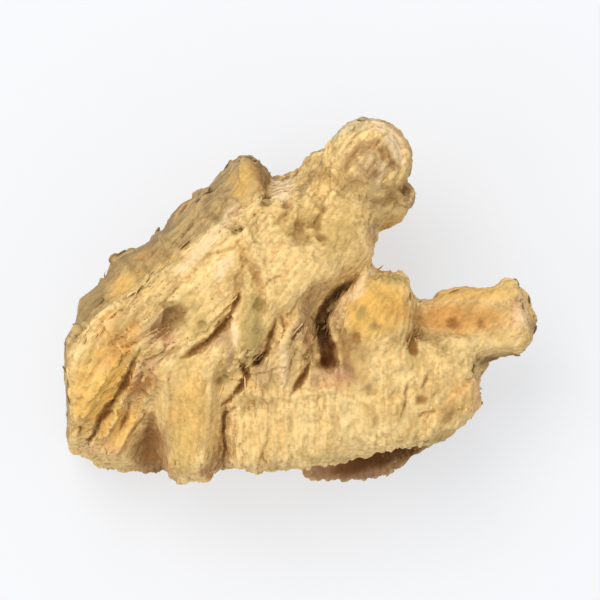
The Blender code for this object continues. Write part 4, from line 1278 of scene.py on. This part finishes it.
def tintsAt(points, normals):  # the colour of the stains, painted shade and painted light at each point, and how far it covers the wood
    size, amount = tintWaver
    plan = points[:, :2] + amount * waverAt(points, size, (131.0, 137.0))
    lit = faded(normals[:, 2], "lit")
    upward = partly(lowTintSlope, faded(normals[:, 2], "lowSlope"))
    colour = np.tile(np.array(woodColours["mid"][:3]), (len(points), 1))
    cover = np.zeros(len(points))
    above = fadeAt(points[:, 2], lowTintTop - lowTintFade, lowTintTop)
    for at, size, turn, name, strength in tints.values():
        layOver(colour, cover, name, strength * tintSpot(plan, at, size, turn) * lit * above)
    for at, size, turn, name, strength in lowTints.values():
        layOver(colour, cover, name, strength * tintSpot(plan, at, size, turn) * (1.0 - above) * upward)
    for lineName, (name, strength, line) in tintLines.items():
        away, share, side, width = pathReach(plan, line)
        shown = faded(normals[:, 2], "deepSlope") if lineName in deepLines else lit * above
        layOver(colour, cover, name, strength * faded(away / width, "lineRim") * shown)
    for at, radius, depth, name, strength in pits.values():
        near = planAway(points, at) < pitShape["reach"] * radius
        share = np.zeros(len(points))
        share[near] = faded(pitShare(points[near], at, radius), "pitInk")
        layOver(colour, cover, name, strength * share * lit * above)
    for tip in scarPlaces:
        share, angle = scarPlace(points, tip)
        for name, (strength, start, full) in scarTints.items():
            layOver(colour, cover, name, strength * fadeAt(share, start, full))
        strength, middle, width = scarPale
        layOver(colour, cover, "pale", strength * np.exp(-((share - middle) / width) ** 2))
    barkOnly = barkShare(points, normals)
    # painted shade: bark that faces to the side or down is darkened
    steep = faded(normals[:, 2], "steepBark") * (0.75 + 0.5 * noiseAt(points, 1.3, 161.0))
    layOver(colour, cover, "barkSideShade", steepShade * np.clip(steep, 0.0, 1.0) * barkOnly)
    for name, (strength, beside, width) in ringTints.items():
        line = np.exp(-((ringPhase(points) - beside) / width) ** 2)
        layOver(colour, cover, name, strength * line * barkOnly)
    return np.column_stack([colour, cover])


# How much is strewn away from the places that the fields pick out, and how far calm places are spared
strewShares = {
    "side": (0.15, 0.85), "open": (0.15, 0.85), "between": (0.35, 0.65), "patches": 0.45, "calm": 0.9,
}


def paintSkin(mesh):  # the numbers that the material reads
    points, normals = readPoints(mesh)
    shares = guideShares(points)
    smoothed = readPoints(withModifiers(mesh, [("SMOOTH", dict(factor=0.5, iterations=10))]))[0]
    dip = np.einsum("ij,ij->i", smoothed - points, normals)
    isSheet = np.array([guide.get("sheet", False) for guide in grainGuides.values()], float)
    setField(mesh, "sheet", isSheet @ shares)
    setField(mesh, "streak", grainPattern(points, shares, lambda p, s: strandsAt(p, s, 3, 91.0), 1.6, 0.16))
    setField(mesh, "bark", barkShare(points, normals))
    # painted shade: the deeper a dip in the skin, the more it is darkened toward brown
    setField(mesh, "cavity", faded(dip, "cavity"))
    at, size, turn = lowTints["undercut"][:3]
    under = fadeAt(points[:, 2], lowTintTop, lowTintTop - lowTintFade)
    outside = 1.0 - tintSpot(points[:, :2], at, size, turn) * under
    # convex edges paled, partly rubbed wear and partly a painted highlight, kept out of the undercut's
    # painted shadow
    setField(mesh, "worn", faded(-dip, "worn") * outside)
    ragged = raggedPlan(points)
    dark = np.zeros(len(points))
    # each crack is darkened inside: the wood's brown there, and painted shade
    for name, crack in cracks.items():
        profile, taper, side, share, width = crackProfile(ragged, crack)
        inside = faded(profile, "crackDarkness") * taper ** 0.5
        dark = np.maximum(dark, crack["darkness"] * inside)
        if name == "deepCleft":
            setField(mesh, "deepCrack", inside)
    setField(mesh, "crack", dark * faded(normals[:, 2], "darknessSlope") * faded(points[:, 2], "crackHeight"))
    wood = 1.0 - barkShare(points, normals)
    torn = np.zeros(len(points))
    for line in [crack["path"] for crack in cracks.values()] + [edge["path"] for edge in tornEdges.values()]:
        away = pathReach(ragged, line)[0]
        torn = np.maximum(torn, faded(away, "tornAway") * faded(away, "tornNear"))
    torn *= faded(normals[:, 2], "tornSlope") * faded(points[:, 2], "tornHeight")
    patches = faded(noiseAt(points, 1.1, 141.0), "patches")
    room = np.minimum(points - boxLow, boxHigh - points).min(axis=1)
    low = faded(points[:, 2], "strewHeight") * outside * faded(room, "room")
    upward = partly(strewShares["side"], faded(normals[:, 2], "fraySlope"))
    rough = 1.0 - strewShares["calm"] * calmShare(points, normals)
    frayed = np.maximum(torn, strewShares["patches"] * patches) * wood * low * upward * rough
    along, away, axis, length = stumpPlace(points, stumps["upper"])
    onStump = faded(away, "offStump") * fadeAt(along, 0.2 * length, 0.4 * length)
    setField(mesh, "fray", frayed * (1.0 - onStump))
    setField(mesh, "calm", calmShare(points, normals))
    inDips = partly(strewShares["open"], faded(dip, "crumby"))
    setField(mesh, "crumby", inDips * partly(strewShares["between"], patches) * low)
    setField(mesh, "scaly", (1.0 - wood) * faded(noiseAt(points, 0.8, 147.0), "scales") * low)
    grain = np.zeros((len(points), 3))
    for guide, share in zip(grainGuides.values(), shares):
        grain += share[:, None] * guideWay(guide)
    side = faded(normals[:, 2], "hangSlope") * (isSheet @ shares)
    grain += side[:, None] * (np.array((0.0, 0.0, -1.0)) - grain)
    grain -= normals * np.einsum("ij,ij->i", grain, normals)[:, None]
    field = mesh.attributes.new("grain", "FLOAT_VECTOR", "POINT")
    field.data.foreach_set("vector", grain.astype(np.float32).ravel())
    # the tint attribute carries stains together with painted shade and painted light
    field = mesh.attributes.new("tint", "FLOAT_COLOR", "POINT")
    field.data.foreach_set("color", tintsAt(points, normals).astype(np.float32).ravel())


# What lies on the skin: torn fibres, crumbs and bark scales, each strewn by a geometry tree.
# Densities are per square millimetre where the field is 1, and sizes are in millimetres.
# Angles are in degrees: how far a piece lifts off the skin, and how far it turns from the grain.

tornFibres = dict(
    field="fray", density=6.0, seed=3, length=(0.18, 0.55), width=(0.016, 0.034), lift=(0.0, 6.0), yaw=7.0)
woodCrumbs = dict(
    field="crumby", density=9.0, seed=5, length=(0.030, 0.085), width=(0.022, 0.060),
    lift=(-60.0, 60.0), yaw=90.0)
barkScales = dict(
    field="scaly", density=5.0, seed=8, length=(0.10, 0.26), width=(0.07, 0.18), lift=(4.0, 18.0), yaw=40.0)


def strandShape(board):  # 1 long, thick at its root and thin at its tip, with a slight bend
    line = board.node("GeometryNodeCurvePrimitiveLine", None, {
        "Start": (-0.3, 0.0, 0.0), "End": (0.7, 0.0, 0.0)})
    line = board.node("GeometryNodeResampleCurve", None, {"Curve": line, "Count": 7})
    share = board.node("GeometryNodeSplineParameter", out="Factor")
    bend = board.node("ShaderNodeCombineXYZ", None, {
        "Y": board.sum("SINE", share * 4.0, 0.0) * 0.05, "Z": share ** 2.0 * -0.06})
    line = board.node("GeometryNodeSetPosition", None, {"Geometry": line, "Offset": bend})
    line = board.node("GeometryNodeSetCurveRadius", None, {"Curve": line, "Radius": 1.05 - share ** 1.5})
    section = board.node("GeometryNodeCurvePrimitiveCircle", None, {"Resolution": 4, "Radius": 1.0})
    return board.node("GeometryNodeCurveToMesh", None, {
        "Curve": line, "Profile Curve": section, "Fill Caps": True})


def crumbShape(board):  # a knobbly grain
    ball = board.node("GeometryNodeMeshIcoSphere", None, {"Radius": 1.0, "Subdivisions": 1})
    lumpy = board.node("ShaderNodeTexNoise", None, {"Scale": 1.3}, "Color")
    push = board.node("ShaderNodeVectorMath", {"operation": "SUBTRACT"}, {0: lumpy, 1: (0.5, 0.5, 0.5)})
    return board.node("GeometryNodeSetPosition", None, {"Geometry": ball, "Offset": push})


def scaleShape(board):  # a thin curled flake
    flake = board.node("GeometryNodeMeshCylinder", {"fill_type": "TRIANGLE_FAN"}, {
        "Vertices": 9, "Side Segments": 1, "Radius": 1.0, "Depth": 0.10})
    place = board.node("GeometryNodeInputPosition")
    parts = board.node("ShaderNodeSeparateXYZ", None, {0: place})
    curl = board.node("ShaderNodeCombineXYZ", None, {"Z": parts * parts * -0.25})
    return board.node("GeometryNodeSetPosition", None, {"Geometry": flake, "Offset": curl})


def strewTree(name, shape):
    tree = bpy.data.node_groups.new(name, "GeometryNodeTree")
    tree.interface.new_socket("Skin", in_out="INPUT", socket_type="NodeSocketGeometry")
    for label in ("Density", "Shortest", "Longest", "Thinnest", "Thickest", "Least lift", "Most lift", "Yaw"):
        tree.interface.new_socket(label, in_out="INPUT", socket_type="NodeSocketFloat")
    tree.interface.new_socket("Seed", in_out="INPUT", socket_type="NodeSocketInt")
    tree.interface.new_socket("Field", in_out="INPUT", socket_type="NodeSocketString")
    tree.interface.new_socket("Material", in_out="INPUT", socket_type="NodeSocketMaterial")
    tree.interface.new_socket("Pieces", in_out="OUTPUT", socket_type="NodeSocketGeometry")
    board = Board(tree)
    given = board.node("NodeGroupInput")

    def asked(label):
        return board.other(given, label)

    share = board.node("GeometryNodeInputNamedAttribute", {"data_type": "FLOAT"}, {"Name": asked("Field")})
    spots = board.node("GeometryNodeDistributePointsOnFaces", None, {
        "Mesh": given, "Density": share * asked("Density"), "Seed": asked("Seed")})
    grain = board.node("GeometryNodeInputNamedAttribute", {"data_type": "FLOAT_VECTOR"}, {"Name": "grain"})
    aligned = board.node("FunctionNodeAlignRotationToVector", {"axis": "X"}, {"Vector": grain})
    aligned = board.node("FunctionNodeAlignRotationToVector", {"axis": "Z", "pivot_axis": "X"}, {
        "Rotation": aligned, "Vector": board.other(spots, "Normal")})

    def chance(low, high, number):
        return board.node("FunctionNodeRandomValue", {"data_type": "FLOAT"}, {
            2: low, 3: high, "Seed": number}, 1)

    lift = chance(asked("Least lift"), asked("Most lift"), 1) * (-math.pi / 180.0)
    yaw = chance(asked("Yaw") * -1.0, asked("Yaw"), 2) * (math.pi / 180.0)
    tilt = board.node("ShaderNodeCombineXYZ", None, {"X": chance(-0.5, 0.5, 3), "Y": lift, "Z": yaw})
    turned = board.node("FunctionNodeRotateRotation", {"rotation_space": "LOCAL"}, {
        "Rotation": aligned, "Rotate By": board.node("FunctionNodeEulerToRotation", None, {0: tilt})})
    long = chance(asked("Shortest"), asked("Longest"), 4)
    wide = chance(asked("Thinnest"), asked("Thickest"), 5)
    size = board.node("ShaderNodeCombineXYZ", None, {"X": long, "Y": wide, "Z": wide})
    pieces = board.node("GeometryNodeInstanceOnPoints", None, {
        "Points": spots, "Instance": shape(board), "Rotation": turned, "Scale": size})
    pieces = board.node("GeometryNodeRealizeInstances", None, {0: pieces})
    pieces = board.node("GeometryNodeSetMaterial", None, {"Geometry": pieces, "Material": asked("Material")})
    ending = tree.nodes.new("NodeGroupOutput")
    board.plug(ending.inputs[0], pieces)
    return tree


def strewn(mesh, name, shape, values, material):
    tree = strewTree(name, shape)
    holder = bpy.data.objects.new(name + "Holder", mesh)
    bpy.context.scene.collection.objects.link(holder)
    modifier = holder.modifiers.new(name, "NODES")
    modifier.node_group = tree
    given = {
        "Density": values["density"], "Yaw": values["yaw"], "Seed": values["seed"], "Field": values["field"],
        "Shortest": values["length"][0], "Longest": values["length"][1],
        "Thinnest": values["width"][0], "Thickest": values["width"][1],
        "Least lift": values["lift"][0], "Most lift": values["lift"][1], "Material": material}
    for item in tree.interface.items_tree:
        if item.name in given:
            modifier[item.identifier] = given[item.name]
    result = bpy.data.meshes.new_from_object(holder.evaluated_get(bpy.context.evaluated_depsgraph_get()))
    bpy.data.objects.remove(holder, do_unlink=True)
    keepInBox(result)
    print(name + ":", sum(len(face.vertices) - 2 for face in result.polygons), "triangles")
    return result


strewnKinds = {
    "tornFibres": (strandShape, tornFibres),
    "woodCrumbs": (crumbShape, woodCrumbs),
    "barkScales": (scaleShape, barkScales),
}


def finishPiece(mesh, name, material):
    points = readPoints(mesh)[0]
    writePoints(mesh, points * mm)
    mesh.materials.clear()
    mesh.materials.append(material)
    mesh.shade_smooth()
    piece = bpy.data.objects.new(name, mesh)
    bpy.context.scene.collection.objects.link(piece)
    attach(piece, "root")
    return piece


# Studio: pale floor, soft light from above and behind, camera straight above

studio = {
    "floorSize": 1.2,
    "pieceShare": 0.80,       # of the picture's width
    "lens": 400,
    "floor": rgb(146, 147, 149),
    "glow": rgb(200, 201, 203),  # painted light: the floor glows by itself, so shadows on it are faint
    "world": 0.70,
    "key": dict(at=(-0.10, 0.18, 0.38), size=0.24, power=0.95),
    "side": dict(at=(-0.30, -0.10, 0.30), size=0.30, power=0.35),
}


def addLight(name, at, size, power):
    lamp = bpy.data.lights.new(name, "AREA")
    lamp.size = size
    lamp.energy = power
    holder = bpy.data.objects.new(name, lamp)
    holder.location = at
    holder.rotation_euler = Vector(at).to_track_quat("Z", "Y").to_euler()
    bpy.context.scene.collection.objects.link(holder)


def makeStudio():
    bpy.ops.mesh.primitive_plane_add(size=studio["floorSize"])
    floor = bpy.context.object
    floor.name = "studioFloor"
    paint = bpy.data.materials.new("paleFloor")
    paint.use_nodes = True
    shader = paint.node_tree.nodes["Principled BSDF"]
    shader.inputs["Base Color"].default_value = studio["floor"]
    shader.inputs["Roughness"].default_value = 0.9
    # painted light: the floor glows, lighting the piece from below and washing out shadows on it
    shader.inputs["Emission Color"].default_value = studio["glow"]
    shader.inputs["Emission Strength"].default_value = 1.0
    floor.data.materials.append(paint)
    world = bpy.data.worlds.new("studioWorld")
    world.use_nodes = True
    world.node_tree.nodes["Background"].inputs["Color"].default_value = (1.0, 1.0, 1.0, 1.0)
    world.node_tree.nodes["Background"].inputs["Strength"].default_value = studio["world"]
    bpy.context.scene.world = world
    addLight("keyLight", **studio["key"])
    addLight("sideLight", **studio["side"])
    bpy.context.scene.view_settings.view_transform = "Standard"
    camera = bpy.data.cameras.new("topCamera")
    camera.lens = studio["lens"]
    camera.clip_start = 0.001
    camera.clip_end = 10.0
    width = (cadHigh[0] - cadLow[0]) / studio["pieceShare"]
    holder = bpy.data.objects.new("topCamera", camera)
    middle = (cadLow + cadHigh) / 2
    distance = width / 2 / (camera.sensor_width / 2 / camera.lens)
    holder.location = (middle[0], middle[1], cadHigh[2] * 0.7 + distance)
    bpy.context.scene.collection.objects.link(holder)
    bpy.context.scene.camera = holder


makeStudio()
print("studio made")
skinMesh = makeSkin()
paintSkin(skinMesh)
print("skin painted")
driedWood = woodMaterial()
strewnMeshes = {}
for kind, (shape, values) in strewnKinds.items():
    strewnMeshes[kind] = strewn(skinMesh, kind, shape, values, driedWood)
skinPiece = finishPiece(skinMesh, "rhizomeSkin", driedWood)
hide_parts("rhizome_piece")
for kind, mesh in strewnMeshes.items():
    finishPiece(mesh, kind, driedWood)
print("pieces finished:", 1 + len(strewnMeshes))
